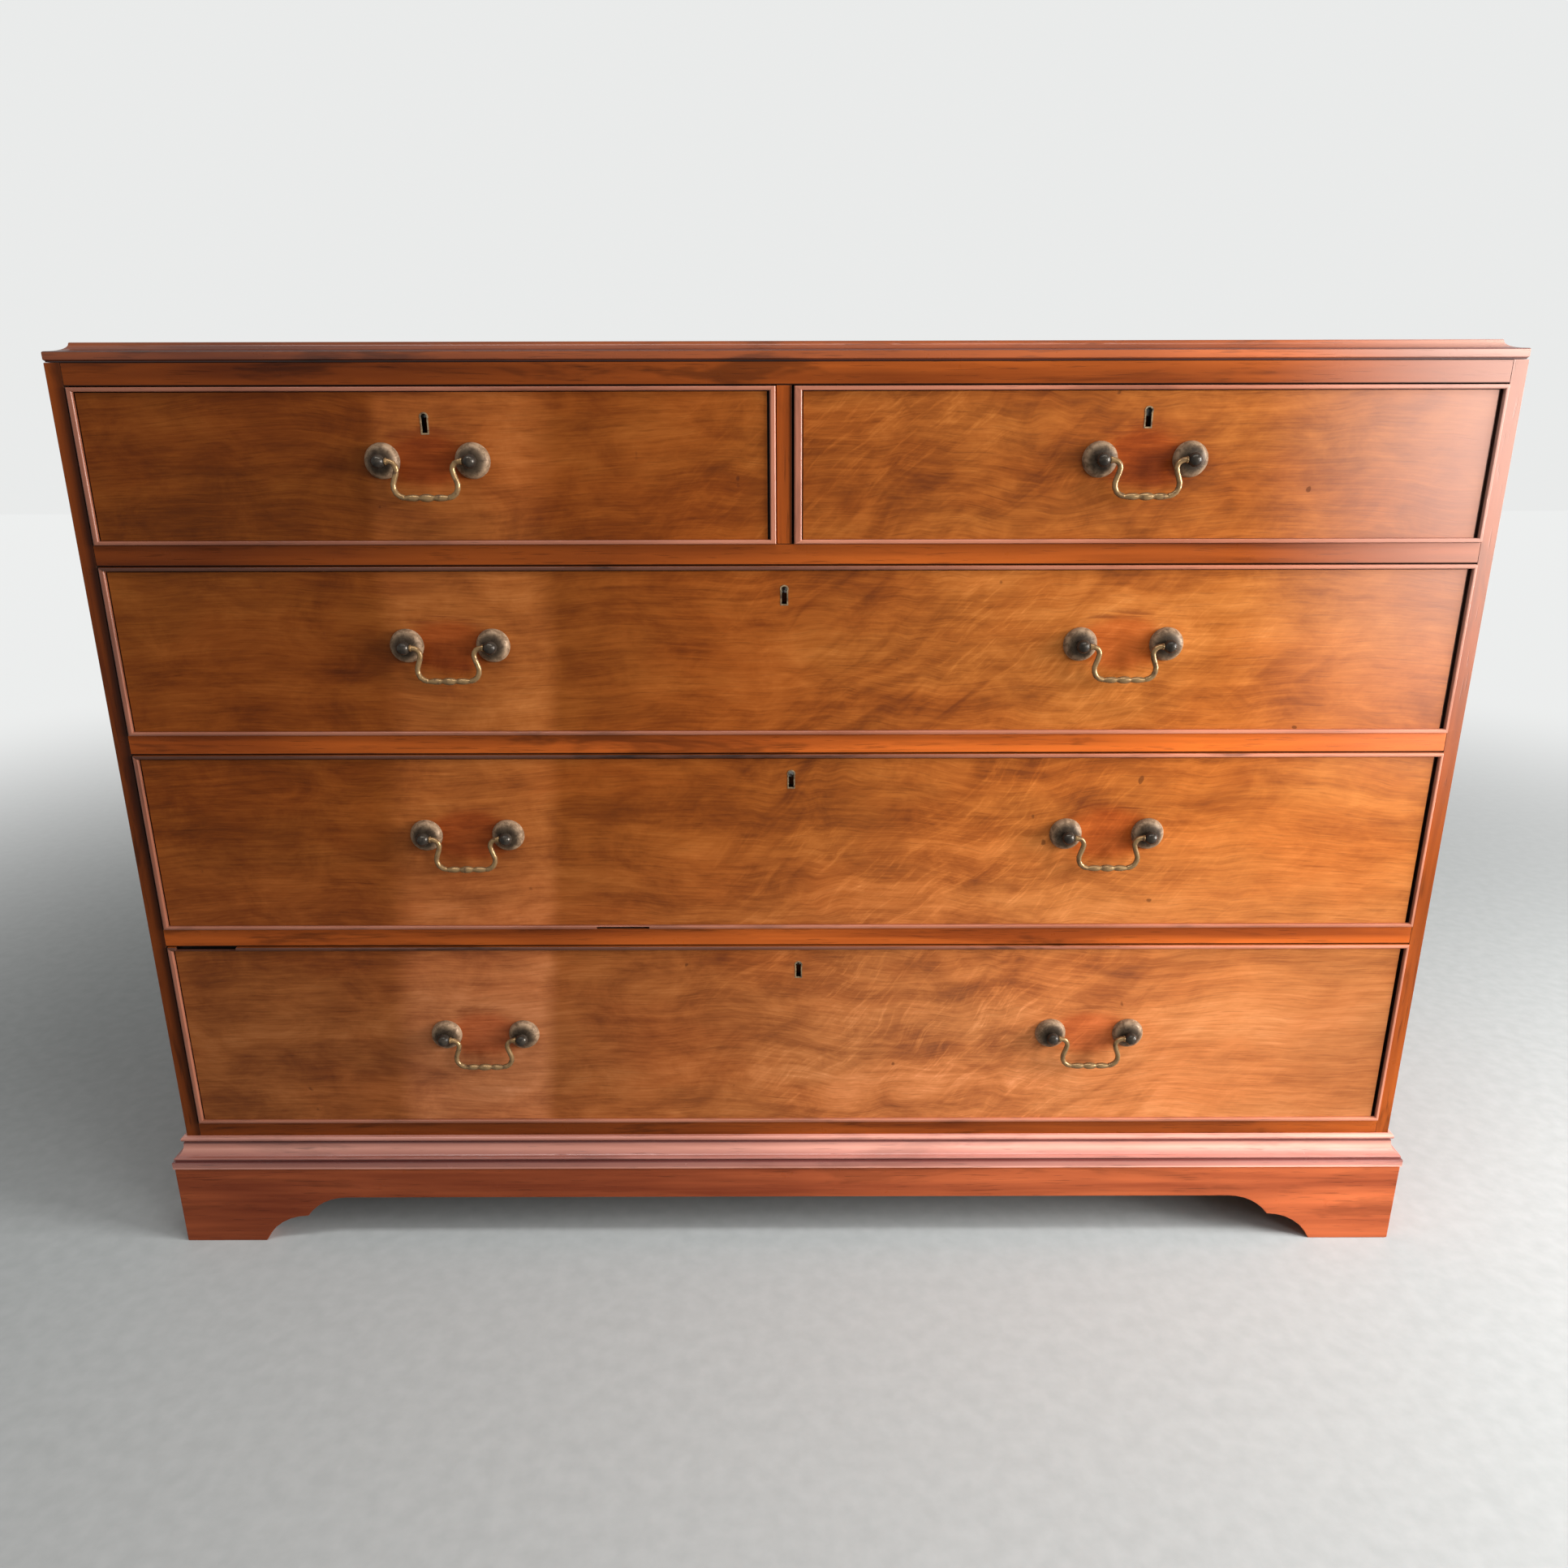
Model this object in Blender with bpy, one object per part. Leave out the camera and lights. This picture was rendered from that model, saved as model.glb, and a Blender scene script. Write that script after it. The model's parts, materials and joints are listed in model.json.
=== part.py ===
"""Mahogany chest of two short over three long graduated drawers, on a moulded bracket plinth.

Metres, +Z up. The front faces -Y, and the origin is at the middle of the overall box, on the floor.
The carcass is built of boards with housed and tenoned joints, each drawer is a dovetailed box that
slides out, each bail handle swings in its posts, and each lock bolt slides up into the rail above it.
"""

import math

import bmesh
import bpy
from mathutils import Vector

# Clearances
SEAT = 0.0003
OVERRUN = 0.010
MERGE_DISTANCE = 0.000003
ROUND_ANGLE = 50

# Carcass
CARCASS_WIDTH = 1.220
CARCASS_DEPTH = 0.510
LEFT_SIDE_THICKNESS = 0.0135
RIGHT_SIDE_THICKNESS = 0.0125
BACK_THICKNESS = 0.010
BACK_REBATE_WIDTH = 0.007
HOUSING_DEPTH = 0.004
TENON_LENGTH = 0.006
TENON_SHOULDER = 0.003
TENON_SETBACK = 0.008

# Rails and boards between the drawers
TOP_RAIL_HEIGHT = 0.0186
RAIL_HEIGHT = 0.0178
RAIL_DEPTH = 0.060
BOTTOM_RAIL_HEIGHT = 0.0465
BOTTOM_RAIL_DEPTH = 0.040
DUST_BOARD_THICKNESS = 0.012
TONGUE_THICKNESS = 0.0045
TONGUE_LENGTH = 0.006
TENON_END_MARGIN = 0.014
DIVIDER_THICKNESS = 0.013
DIVIDER_OFFSET = -0.0018
PARTITION_THICKNESS = 0.009
STOP_HEIGHT = 0.004
STOP_DEPTH = 0.010
STOP_WIDTH = 0.030
STOP_PLACE_SHARE = 0.30

# Top board, from its lower edge up
TOP_QUIRK_HEIGHT = 0.0020
TOP_QUIRK_DEPTH = 0.0012
TOP_LOWER_FILLET = 0.0065
TOP_COVE_HEIGHT = 0.0048
TOP_COVE_STEP = 0.0010
TOP_SET_IN = 0.0150
TOP_UPPER_FILLET = 0.0030
TOP_COVE_SEGMENTS = 5
TOP_TONGUE_THICKNESS = 0.005
TOP_TONGUE_HEIGHT = 0.006
TOP_TONGUE_SETBACK = 0.025

# Plinth with its bracket feet
PLINTH_HEIGHT = 0.087
PLINTH_THICKNESS = 0.020
PLINTH_PROJECTION = 0.0118
FOOT_WIDTH = 0.082
FOOT_ARC_RADIUS = 0.051
FIRST_ARC_HEIGHT = 0.030
SECOND_ARC_HEIGHT = 0.022
FOOT_ARC_SEGMENTS = 6
REAR_FOOT_WIDTH = 0.120
REAR_FOOT_BASE = 0.070
REAR_FOOT_APRON = 0.055

# Base moulding, from its lower edge up
BASE_FILLET_HEIGHT = 0.0082
BASE_PROJECTION = 0.0128
BASE_QUIRK_HEIGHT = 0.0010
BASE_QUIRK_DEPTH = 0.0008
BASE_OGEE_LIP = 0.0030
BASE_OGEE_REACH = 0.0112
BASE_OGEE_RISE = 0.0130
BASE_BEAD_WIDTH = 0.0055
BASE_BEAD_PROJECTION = 0.0047
BASE_BEAD_QUIRK = 0.0012
BASE_NECK = 0.0030
BASE_CURVE_SEGMENTS = 4

# Drawer openings, from the short drawers down
SHORT_OPENING_HEIGHT = 0.1295
OPENING_GRADUATION = 0.0222

# Drawers
DRAWER_LEFT_GAP = 0.0018
DRAWER_RIGHT_GAP = 0.0006
DRAWER_TOP_GAP = 0.0006
DRAWER_REAR_GAP = 0.020
FRONT_THICKNESS = 0.020
DOVETAIL_LAP = 0.006
DRAWER_SIDE_INSET = 0.0005
DRAWER_SIDE_THICKNESS = 0.009
DRAWER_SIDE_DROP = 0.002
DRAWER_BACK_THICKNESS = 0.009
DRAWER_BACK_DROP = 0.007
DRAWER_BOTTOM_THICKNESS = 0.006
DRAWER_BOTTOM_RAISE = 0.008
DRAWER_GROOVE_DEPTH = 0.0035
TAIL_PITCH = 0.036
PIN_WIDTH = 0.009
TAIL_SLOPE_SHARE = 1 / 7
BEAD_WIDTH = 0.0036
END_BEAD_WIDTH = 0.0048
BEAD_PROJECTION = 0.0026
BEAD_SEGMENTS = 4

# Handles
HANDLE_SPACING = 0.076
HANDLE_PLACE_SHARE = 0.24344
POST_REACH = 0.0125
BALL_RADIUS = 0.0060
BALL_SEGMENTS = 5
ROSE_RADIUS = 0.015
ROSE_EDGE = 0.0012
ROSE_DOME = 0.0065
ROSE_DOME_ANGLES = (30, 60, 85)
ROSE_LET_IN = 0.0010
POST_NECK_RADIUS = 0.0032
POST_STEPS = 14
PIN_RADIUS = 0.0015
PIN_SOCKET_FLOOR = 0.0024
PIN_CUTTER_SIDES = 10
BAIL_RADIUS = 0.0022
BAIL_DROP = 0.0295
KNOP_RADIUS = 0.0034
SIDE_KNOP_RADIUS = 0.0029
KNOP_PITCH = 0.0050
BAIL_CURVE_STEPS = 2

# Places along the grip, in knop pitches from its middle
GRIP_START_SHARE = 3.0
KNOP_SHARES = (2.5, 1.6, 1.1, 0.7)

# The swan neck of a bail, as shares of half the handle spacing and of the drop
BAIL_NECK_SHARES = (
    (0.675, 0.045),
    (0.615, 0.190),
    (0.655, 0.400),
    (0.715, 0.620),
    (0.670, 0.860),
    (0.520, 0.985),
)

# Locks
KEYHOLE_BELOW_TOP = 0.0255
KEYHOLE_HEAD_RADIUS = 0.0030
KEYHOLE_SLOT_WIDTH = 0.0040
KEYHOLE_HEIGHT = 0.0155
KEYHOLE_SEGMENTS = 8
BOLT_WIDTH = 0.032
BOLT_THICKNESS = 0.005
BOLT_HEIGHT = 0.024
BOLT_CHAMFER = 0.0012
BOLT_SETBACK = 0.0005
BOLT_BEHIND_FACE = 0.009
BOLT_THROW = 0.008
BOLT_MORTISE_ROOM = 0.0016
LOCK_CASE_WIDTH = 0.062
LOCK_CASE_HEIGHT = 0.038
LOCK_CASE_THICKNESS = 0.004
LOCK_CASE_BELOW_TOP = 0.003

# Each row from the top: handle height as a share of the opening, and how far the lock is off centre
ROW_HANDLE_SHARES = (0.537, 0.540, 0.549, 0.513)
ROW_LOCK_OFFSETS = (0.0, -0.0020, 0.0040, 0.0110)
LONG_DRAWERS = ("upper_long_drawer", "middle_long_drawer", "bottom_long_drawer")

# Places that follow from the sizes
HANDLE_REACH = POST_REACH + BALL_RADIUS
FRONT_Y = (HANDLE_REACH - CARCASS_DEPTH) / 2
BACK_Y = FRONT_Y + CARCASS_DEPTH
BACK_BOARD_Y = BACK_Y - BACK_THICKNESS
LEFT_OUT = -CARCASS_WIDTH / 2
RIGHT_OUT = CARCASS_WIDTH / 2
LEFT_IN = LEFT_OUT + LEFT_SIDE_THICKNESS
RIGHT_IN = RIGHT_OUT - RIGHT_SIDE_THICKNESS
DIVIDER_LEFT = DIVIDER_OFFSET - DIVIDER_THICKNESS / 2
DIVIDER_RIGHT = DIVIDER_OFFSET + DIVIDER_THICKNESS / 2
ROW_HEIGHTS = [SHORT_OPENING_HEIGHT + row * OPENING_GRADUATION for row in range(4)]
TOP_THICKNESS = TOP_QUIRK_HEIGHT + TOP_LOWER_FILLET + TOP_COVE_HEIGHT + TOP_UPPER_FILLET
BASE_TOP = PLINTH_HEIGHT + BOTTOM_RAIL_HEIGHT


def row_floor(row):
    """The height of the surface that the drawers of a row slide on."""
    rows_below = ROW_HEIGHTS[row + 1 :]
    return BASE_TOP + sum(rows_below) + RAIL_HEIGHT * len(rows_below)


ROW_FLOORS = [row_floor(row) for row in range(4)]
TOP_RAIL_BOTTOM = ROW_FLOORS[0] + ROW_HEIGHTS[0]
CARCASS_TOP = TOP_RAIL_BOTTOM + TOP_RAIL_HEIGHT
OVERALL_HEIGHT = CARCASS_TOP + TOP_THICKNESS
DRAWER_DEPTH = CARCASS_DEPTH - BACK_THICKNESS - DRAWER_REAR_GAP


def clear_scene():
    for thing in list(bpy.data.objects):
        bpy.data.objects.remove(thing, do_unlink=True)


def finish(name, colour, roughness, metallic=0.0):
    """A plain material in one colour."""
    made = bpy.data.materials.new(name)
    made.use_nodes = True
    shader = made.node_tree.nodes["Principled BSDF"]
    shader.inputs["Base Color"].default_value = (*colour, 1.0)
    shader.inputs["Roughness"].default_value = roughness
    shader.inputs["Metallic"].default_value = metallic
    made.diffuse_color = (*colour, 1.0)
    return made


def make_piece(name, bm, material, place=(0, 0, 0), parent=None):
    """Turns a bmesh into an object with its faces pointing out."""
    bmesh.ops.recalc_face_normals(bm, faces=bm.faces)
    mesh = bpy.data.meshes.new(name)
    bm.to_mesh(mesh)
    bm.free()
    mesh.materials.append(material)
    piece = bpy.data.objects.new(name, mesh)
    bpy.context.scene.collection.objects.link(piece)
    piece.location = place
    piece.parent = parent
    return piece


def combine(piece, bm, label, operation):
    """Cuts a shape from a piece, or joins it to the piece, with a Boolean modifier."""
    material = piece.data.materials[0]
    helper = make_piece(f"{piece.name}_{label}", bm, material, piece.location, piece.parent)
    helper.hide_render = True
    helper.display_type = "WIRE"
    modifier = piece.modifiers.new(label, "BOOLEAN")
    modifier.operation = operation
    modifier.solver = "EXACT"
    modifier.object = helper
    return helper


def cut(piece, bm, label):
    combine(piece, bm, label, "DIFFERENCE")


def join(piece, bm, label):
    return combine(piece, bm, label, "UNION")


def add_box(bm, low, high):
    """Adds a box between two opposite corners."""
    low, high = Vector(low), Vector(high)
    cube = bmesh.ops.create_cube(bm, size=1)["verts"]
    bmesh.ops.scale(bm, vec=high - low, verts=cube)
    bmesh.ops.translate(bm, vec=(low + high) / 2, verts=cube)


def add_prism(bm, outline, along, start, end):
    """Extrudes an outline, given in the two other axes, along axis 0, 1 or 2. Returns both ends' points."""
    across = [axis for axis in range(3) if axis != along]
    near = []
    for pair in outline:
        place = Vector()
        place[across[0]], place[across[1]] = pair
        place[along] = start
        near.append(bm.verts.new(place))
    cap = bm.faces.new(near)
    swept = bmesh.ops.extrude_face_region(bm, geom=[cap])["geom"]
    far = [item for item in swept if isinstance(item, bmesh.types.BMVert)]
    push = Vector()
    push[along] = end - start
    bmesh.ops.translate(bm, vec=push, verts=far)
    return near, far


def add_loft(bm, loops):
    """Skins closed loops of equal length in order and caps both ends."""
    rings = [[bm.verts.new(point) for point in loop] for loop in loops]
    for near, far in zip(rings, rings[1:]):
        for index in range(len(near)):
            following = (index + 1) % len(near)
            bm.faces.new((near[index], near[following], far[following], far[index]))
    bm.faces.new(rings[0])
    bm.faces.new(rings[-1])


def add_turned(bm, profile, centre, steps):
    """Turns a profile of (distance out, radius) pairs about an axis that points to the front."""
    x, y, z = centre
    points = [bm.verts.new((x + radius, y - out, z)) for out, radius in profile]
    edges = [bm.edges.new(pair) for pair in zip(points, points[1:])]
    bmesh.ops.spin(
        bm,
        geom=points + edges,
        cent=centre,
        axis=(0, 1, 0),
        angle=2 * math.pi,
        steps=steps,
        use_merge=True,
    )
    bmesh.ops.remove_doubles(bm, verts=bm.verts, dist=MERGE_DISTANCE)


def arc(centre, radius, start, end, segments):
    """Points of an arc, with angles in degrees from the first axis."""
    points = []
    for step in range(segments + 1):
        angle = math.radians(start + (end - start) * step / segments)
        points.append((centre[0] + radius * math.cos(angle), centre[1] + radius * math.sin(angle)))
    return points


def smooth_path(points, steps):
    """A Catmull-Rom curve through points, which keeps its two ends."""
    ends = [points[0], *points, points[-1]]
    path = []
    for before, here, there, after in zip(ends, ends[1:], ends[2:], ends[3:]):
        for step in range(steps):
            t = step / steps
            path.append(
                0.5 * (2 * here + (there - before) * t)
                + 0.5 * (2 * before - 5 * here + 4 * there - after) * t**2
                + 0.5 * (3 * here - before - 3 * there + after) * t**3
            )
    path.append(points[-1])
    return path


def shade_round(piece):
    """Shades a moulded or turned piece smooth, apart from its real edges."""
    piece.data.shade_smooth()
    piece.data.set_sharp_from_angle(angle=math.radians(ROUND_ANGLE))


def top_board():
    """The top, whose edge steps in and up with a cove at the front and both ends."""
    start = CARCASS_TOP + SEAT
    fillet = CARCASS_TOP + TOP_QUIRK_HEIGHT
    cove = fillet + TOP_LOWER_FILLET
    section = [
        (TOP_QUIRK_DEPTH, start),
        (TOP_QUIRK_DEPTH, fillet - TOP_QUIRK_DEPTH / 2),
        (0, fillet),
        (0, cove),
    ]
    eased = TOP_COVE_STEP / 4
    for step in range(TOP_COVE_SEGMENTS + 1):
        angle = math.pi / 2 * step / TOP_COVE_SEGMENTS
        rise = cove + eased + (TOP_COVE_HEIGHT - eased) * (1 - math.cos(angle))
        section.append((TOP_COVE_STEP + (TOP_SET_IN - TOP_COVE_STEP) * math.sin(angle), rise))
    section.append((TOP_SET_IN, OVERALL_HEIGHT))
    loops = []
    for inset, height in section:
        left, right, front = LEFT_OUT + inset, RIGHT_OUT - inset, FRONT_Y + inset
        corners = ((left, front), (right, front), (right, BACK_Y), (left, BACK_Y))
        loops.append([(x, y, height) for x, y in corners])
    bm = bmesh.new()
    add_loft(bm, loops)
    piece = make_piece("top_board", bm, MAHOGANY)
    shade_round(piece)

    grooves = bmesh.new()
    for centre in ((LEFT_OUT + LEFT_IN) / 2, (RIGHT_OUT + RIGHT_IN) / 2):
        reach = TOP_TONGUE_THICKNESS / 2 + SEAT
        add_box(
            grooves,
            (centre - reach, FRONT_Y + TOP_TONGUE_SETBACK - SEAT, CARCASS_TOP - OVERRUN),
            (centre + reach, BACK_BOARD_Y + SEAT, CARCASS_TOP + TOP_TONGUE_HEIGHT + SEAT),
        )
    cut(piece, grooves, "tongue_grooves")


def rail_tenon(height, rise, depth):
    """The two Y places and two Z places of a rail's stub tenon."""
    front = FRONT_Y + TENON_SETBACK
    back = FRONT_Y + depth - TENON_END_MARGIN
    return front, back, height + TENON_SHOULDER, height + rise - TENON_SHOULDER


RAILS = {
    "top_rail": (TOP_RAIL_BOTTOM, TOP_RAIL_HEIGHT, RAIL_DEPTH),
    "short_drawer_rail": (ROW_FLOORS[0] - RAIL_HEIGHT, RAIL_HEIGHT, RAIL_DEPTH),
    "upper_rail": (ROW_FLOORS[1] - RAIL_HEIGHT, RAIL_HEIGHT, RAIL_DEPTH),
    "lower_rail": (ROW_FLOORS[2] - RAIL_HEIGHT, RAIL_HEIGHT, RAIL_DEPTH),
    "bottom_rail": (PLINTH_HEIGHT, BOTTOM_RAIL_HEIGHT, BOTTOM_RAIL_DEPTH),
}


def side_panel(name, outside, inside):
    """A carcass side with housings for the boards, mortises for the rails and a rebate for the back."""
    inward = 1 if inside > outside else -1
    low_x, high_x = sorted((outside, inside))
    bm = bmesh.new()
    add_box(bm, (low_x, FRONT_Y, PLINTH_HEIGHT + SEAT), (high_x, BACK_Y, CARCASS_TOP))
    piece = make_piece(name, bm, MAHOGANY)

    past = inside + inward * OVERRUN
    joints = bmesh.new()
    tenon_end = inside - inward * (TENON_LENGTH + SEAT)
    low_x, high_x = sorted((tenon_end, past))
    for height, rise, depth in RAILS.values():
        front, back, bottom, top = rail_tenon(height, rise, depth)
        add_box(joints, (low_x, front - SEAT, bottom - SEAT), (high_x, back + SEAT, top + SEAT))
    housing = inside - inward * HOUSING_DEPTH
    low_x, high_x = sorted((housing, past))
    for floor, depth in BOARD_LEVELS.values():
        start = FRONT_Y + depth - TONGUE_LENGTH - SEAT
        under = floor - DUST_BOARD_THICKNESS - SEAT
        add_box(joints, (low_x, start, under), (high_x, BACK_Y + OVERRUN, floor + SEAT))
    cut(piece, joints, "rail_and_board_joints")

    rebate = bmesh.new()
    low_x, high_x = sorted((inside - inward * BACK_REBATE_WIDTH, past))
    add_box(
        rebate,
        (low_x, BACK_BOARD_Y - SEAT, PLINTH_HEIGHT - OVERRUN),
        (high_x, BACK_Y + OVERRUN, OVERALL_HEIGHT),
    )
    cut(piece, rebate, "back_rebate")

    tongue = bmesh.new()
    centre = (outside + inside) / 2
    reach = TOP_TONGUE_THICKNESS / 2
    root = CARCASS_TOP - TENON_SHOULDER / 2
    add_box(
        tongue,
        (centre - reach, FRONT_Y + TOP_TONGUE_SETBACK, root),
        (centre + reach, BACK_BOARD_Y - SEAT, CARCASS_TOP + TOP_TONGUE_HEIGHT),
    )
    join(piece, tongue, "top_tongue")


BOARD_LEVELS = {
    "upper_dust_board": (ROW_FLOORS[0], RAIL_DEPTH),
    "middle_dust_board": (ROW_FLOORS[1], RAIL_DEPTH),
    "lower_dust_board": (ROW_FLOORS[2], RAIL_DEPTH),
    "bottom_board": (ROW_FLOORS[3], BOTTOM_RAIL_DEPTH),
}


def tongue_places(floor):
    """The lower and upper height of a board's front tongue, which lies in the middle of its thickness."""
    middle = floor - DUST_BOARD_THICKNESS / 2
    return middle - TONGUE_THICKNESS / 2, middle + TONGUE_THICKNESS / 2


def dust_board(name, floor, depth):
    """A board that the drawers slide on, tongued into the rail and housed in both sides."""
    front = FRONT_Y + depth + SEAT
    back = BACK_BOARD_Y - 2 * SEAT
    tip = FRONT_Y + depth - TONGUE_LENGTH + SEAT
    under, over = tongue_places(floor)
    outline = [
        (front, floor),
        (back, floor),
        (back, floor - DUST_BOARD_THICKNESS),
        (front, floor - DUST_BOARD_THICKNESS),
        (front, under),
        (tip, under),
        (tip, over),
        (front, over),
    ]
    reach = HOUSING_DEPTH - SEAT
    bm = bmesh.new()
    add_prism(bm, outline, 0, LEFT_IN - reach, RIGHT_IN + reach)
    return make_piece(name, bm, OAK)


def stop_boxes(bm, floor, left, right):
    """Two small blocks that the closed drawer's front meets."""
    middle, width = (left + right) / 2, right - left
    front = FRONT_Y + FRONT_THICKNESS + SEAT
    for side in (-1, 1):
        x = middle + side * width * STOP_PLACE_SHARE
        add_box(
            bm,
            (x - STOP_WIDTH / 2, front, floor - STOP_HEIGHT),
            (x + STOP_WIDTH / 2, front + STOP_DEPTH, floor + STOP_HEIGHT),
        )


def rail(name, height, rise, depth, floor_row=None):
    """A drawer rail: stub tenons at its ends, a groove for the board behind and stops for the drawers."""
    top = height + rise
    front, back = FRONT_Y, FRONT_Y + depth
    outline = [(front, height + SEAT), (back, height + SEAT), (back, top), (front, top)]
    if floor_row is not None:
        under, over = tongue_places(top)
        bottom_of_groove = back - TONGUE_LENGTH
        groove = [
            (back, under - SEAT),
            (bottom_of_groove, under - SEAT),
            (bottom_of_groove, over + SEAT),
            (back, over + SEAT),
        ]
        outline[2:2] = groove
    bm = bmesh.new()
    add_prism(bm, outline, 0, LEFT_IN + SEAT, RIGHT_IN - SEAT)
    piece = make_piece(name, bm, MAHOGANY)

    fitted = bmesh.new()
    tenon_front, tenon_back, low, high = rail_tenon(height, rise, depth)
    for x in (LEFT_IN, RIGHT_IN):
        add_box(fitted, (x - TENON_LENGTH, tenon_front, low), (x + TENON_LENGTH, tenon_back, high))
    if floor_row is not None:
        for left, right in row_openings(floor_row):
            stop_boxes(fitted, top, left, right)
    join(piece, fitted, "tenons_and_stops")
    return piece


def row_openings(row):
    """The left and right faces of each drawer opening in a row."""
    if row == 0:
        return [(LEFT_IN, DIVIDER_LEFT), (DIVIDER_RIGHT, RIGHT_IN)]
    return [(LEFT_IN, RIGHT_IN)]


def divider_tenon(height, rise):
    """The corners of the divider's stub tenon between two heights."""
    reach = DIVIDER_THICKNESS / 2 - TENON_SHOULDER
    return (
        (DIVIDER_OFFSET - reach, FRONT_Y + TENON_SETBACK, height),
        (DIVIDER_OFFSET + reach, FRONT_Y + RAIL_DEPTH - TENON_END_MARGIN, height + rise),
    )


def grown(corners, by):
    low, high = (Vector(corner) for corner in corners)
    margin = Vector((by, by, by))
    return low - margin, high + margin


def bolt_mortise(bm, row, centre):
    """Adds the hole above a drawer that its lock bolt rises into."""
    mouth = ROW_FLOORS[row] + ROW_HEIGHTS[row]
    bolt_front = FRONT_Y + BOLT_BEHIND_FACE
    throw = BOLT_THROW - BOLT_SETBACK + 2 * SEAT
    half = BOLT_WIDTH / 2 + BOLT_MORTISE_ROOM
    add_box(
        bm,
        (centre - half, bolt_front - BOLT_MORTISE_ROOM, mouth - OVERRUN),
        (centre + half, bolt_front + BOLT_THICKNESS + BOLT_MORTISE_ROOM, mouth + throw),
    )


def lock_centres(row):
    """The middle of each lock in a row."""
    offset = ROW_LOCK_OFFSETS[row]
    if row == 0:
        return [drawer_centre(left, right) + offset for left, right in row_openings(row)]
    return [offset]


def drawer_centre(left, right):
    return (left + DRAWER_LEFT_GAP + right - DRAWER_RIGHT_GAP) / 2


def rails_and_divider():
    """All rails from the top down, each over one row of drawers but the last, and the divider."""
    rise_through = OVERRUN + TENON_LENGTH
    divider_mortises = {
        "top_rail": divider_tenon(TOP_RAIL_BOTTOM - OVERRUN, rise_through),
        "short_drawer_rail": divider_tenon(ROW_FLOORS[0] - TENON_LENGTH, rise_through),
    }
    for row_below, (name, (height, rise, depth)) in enumerate(RAILS.items()):
        row_above = row_below - 1 if row_below else None
        piece = rail(name, height, rise, depth, row_above)
        if row_below == len(ROW_HEIGHTS):
            continue
        mortises = bmesh.new()
        for centre in lock_centres(row_below):
            bolt_mortise(mortises, row_below, centre)
        if name in divider_mortises:
            add_box(mortises, *grown(divider_mortises[name], SEAT))
        cut(piece, mortises, "mortises")

    bm = bmesh.new()
    add_box(
        bm,
        (DIVIDER_LEFT, FRONT_Y, ROW_FLOORS[0] + SEAT),
        (DIVIDER_RIGHT, FRONT_Y + RAIL_DEPTH, TOP_RAIL_BOTTOM),
    )
    divider = make_piece("short_drawer_divider", bm, MAHOGANY)
    tenons = bmesh.new()
    add_box(tenons, *divider_tenon(ROW_FLOORS[0] - TENON_LENGTH, 2 * TENON_LENGTH))
    add_box(tenons, *divider_tenon(TOP_RAIL_BOTTOM - TENON_LENGTH, 2 * TENON_LENGTH))
    join(divider, tenons, "tenons")


def boards():
    """Dust boards, the partition between the short drawers and the two back boards."""
    for name, (floor, depth) in BOARD_LEVELS.items():
        dust_board(name, floor, depth)

    bm = bmesh.new()
    reach = PARTITION_THICKNESS / 2
    add_box(
        bm,
        (DIVIDER_OFFSET - reach, FRONT_Y + RAIL_DEPTH + SEAT, ROW_FLOORS[0] + SEAT),
        (DIVIDER_OFFSET + reach, BACK_BOARD_Y - 2 * SEAT, CARCASS_TOP),
    )
    make_piece("centre_partition", bm, OAK)

    middle = (PLINTH_HEIGHT + CARCASS_TOP) / 2
    spans = {
        "back_board_lower": (PLINTH_HEIGHT + SEAT, middle),
        "back_board_upper": (middle + SEAT, CARCASS_TOP),
    }
    edge = BACK_REBATE_WIDTH - SEAT
    for name, (bottom, top) in spans.items():
        bm = bmesh.new()
        add_box(bm, (LEFT_IN - edge, BACK_BOARD_Y, bottom), (RIGHT_IN + edge, BACK_Y, top))
        make_piece(name, bm, PINE)


def bracket_outline(length):
    """One board of the plinth: feet with two hollow arcs each, and the straight apron between them."""
    first_width, second_width = (
        math.sqrt(2 * FOOT_ARC_RADIUS * rise - rise**2) for rise in (FIRST_ARC_HEIGHT, SECOND_ARC_HEIGHT)
    )
    cusp = FOOT_WIDTH + first_width
    first_start = math.degrees(math.acos(first_width / FOOT_ARC_RADIUS))
    second_start = math.degrees(math.acos(second_width / FOOT_ARC_RADIUS))
    first_centre = (cusp, FIRST_ARC_HEIGHT - FOOT_ARC_RADIUS)
    second_centre = (cusp + second_width, FIRST_ARC_HEIGHT + SECOND_ARC_HEIGHT - FOOT_ARC_RADIUS)
    foot = arc(first_centre, FOOT_ARC_RADIUS, 180 - first_start, 90, FOOT_ARC_SEGMENTS)
    foot += arc(second_centre, FOOT_ARC_RADIUS, 180 - second_start, 90, FOOT_ARC_SEGMENTS)
    other = [(length - across, up) for across, up in reversed(foot)]
    return [(0, PLINTH_HEIGHT), (0, 0), *foot, *other, (length, 0), (length, PLINTH_HEIGHT)]


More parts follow.
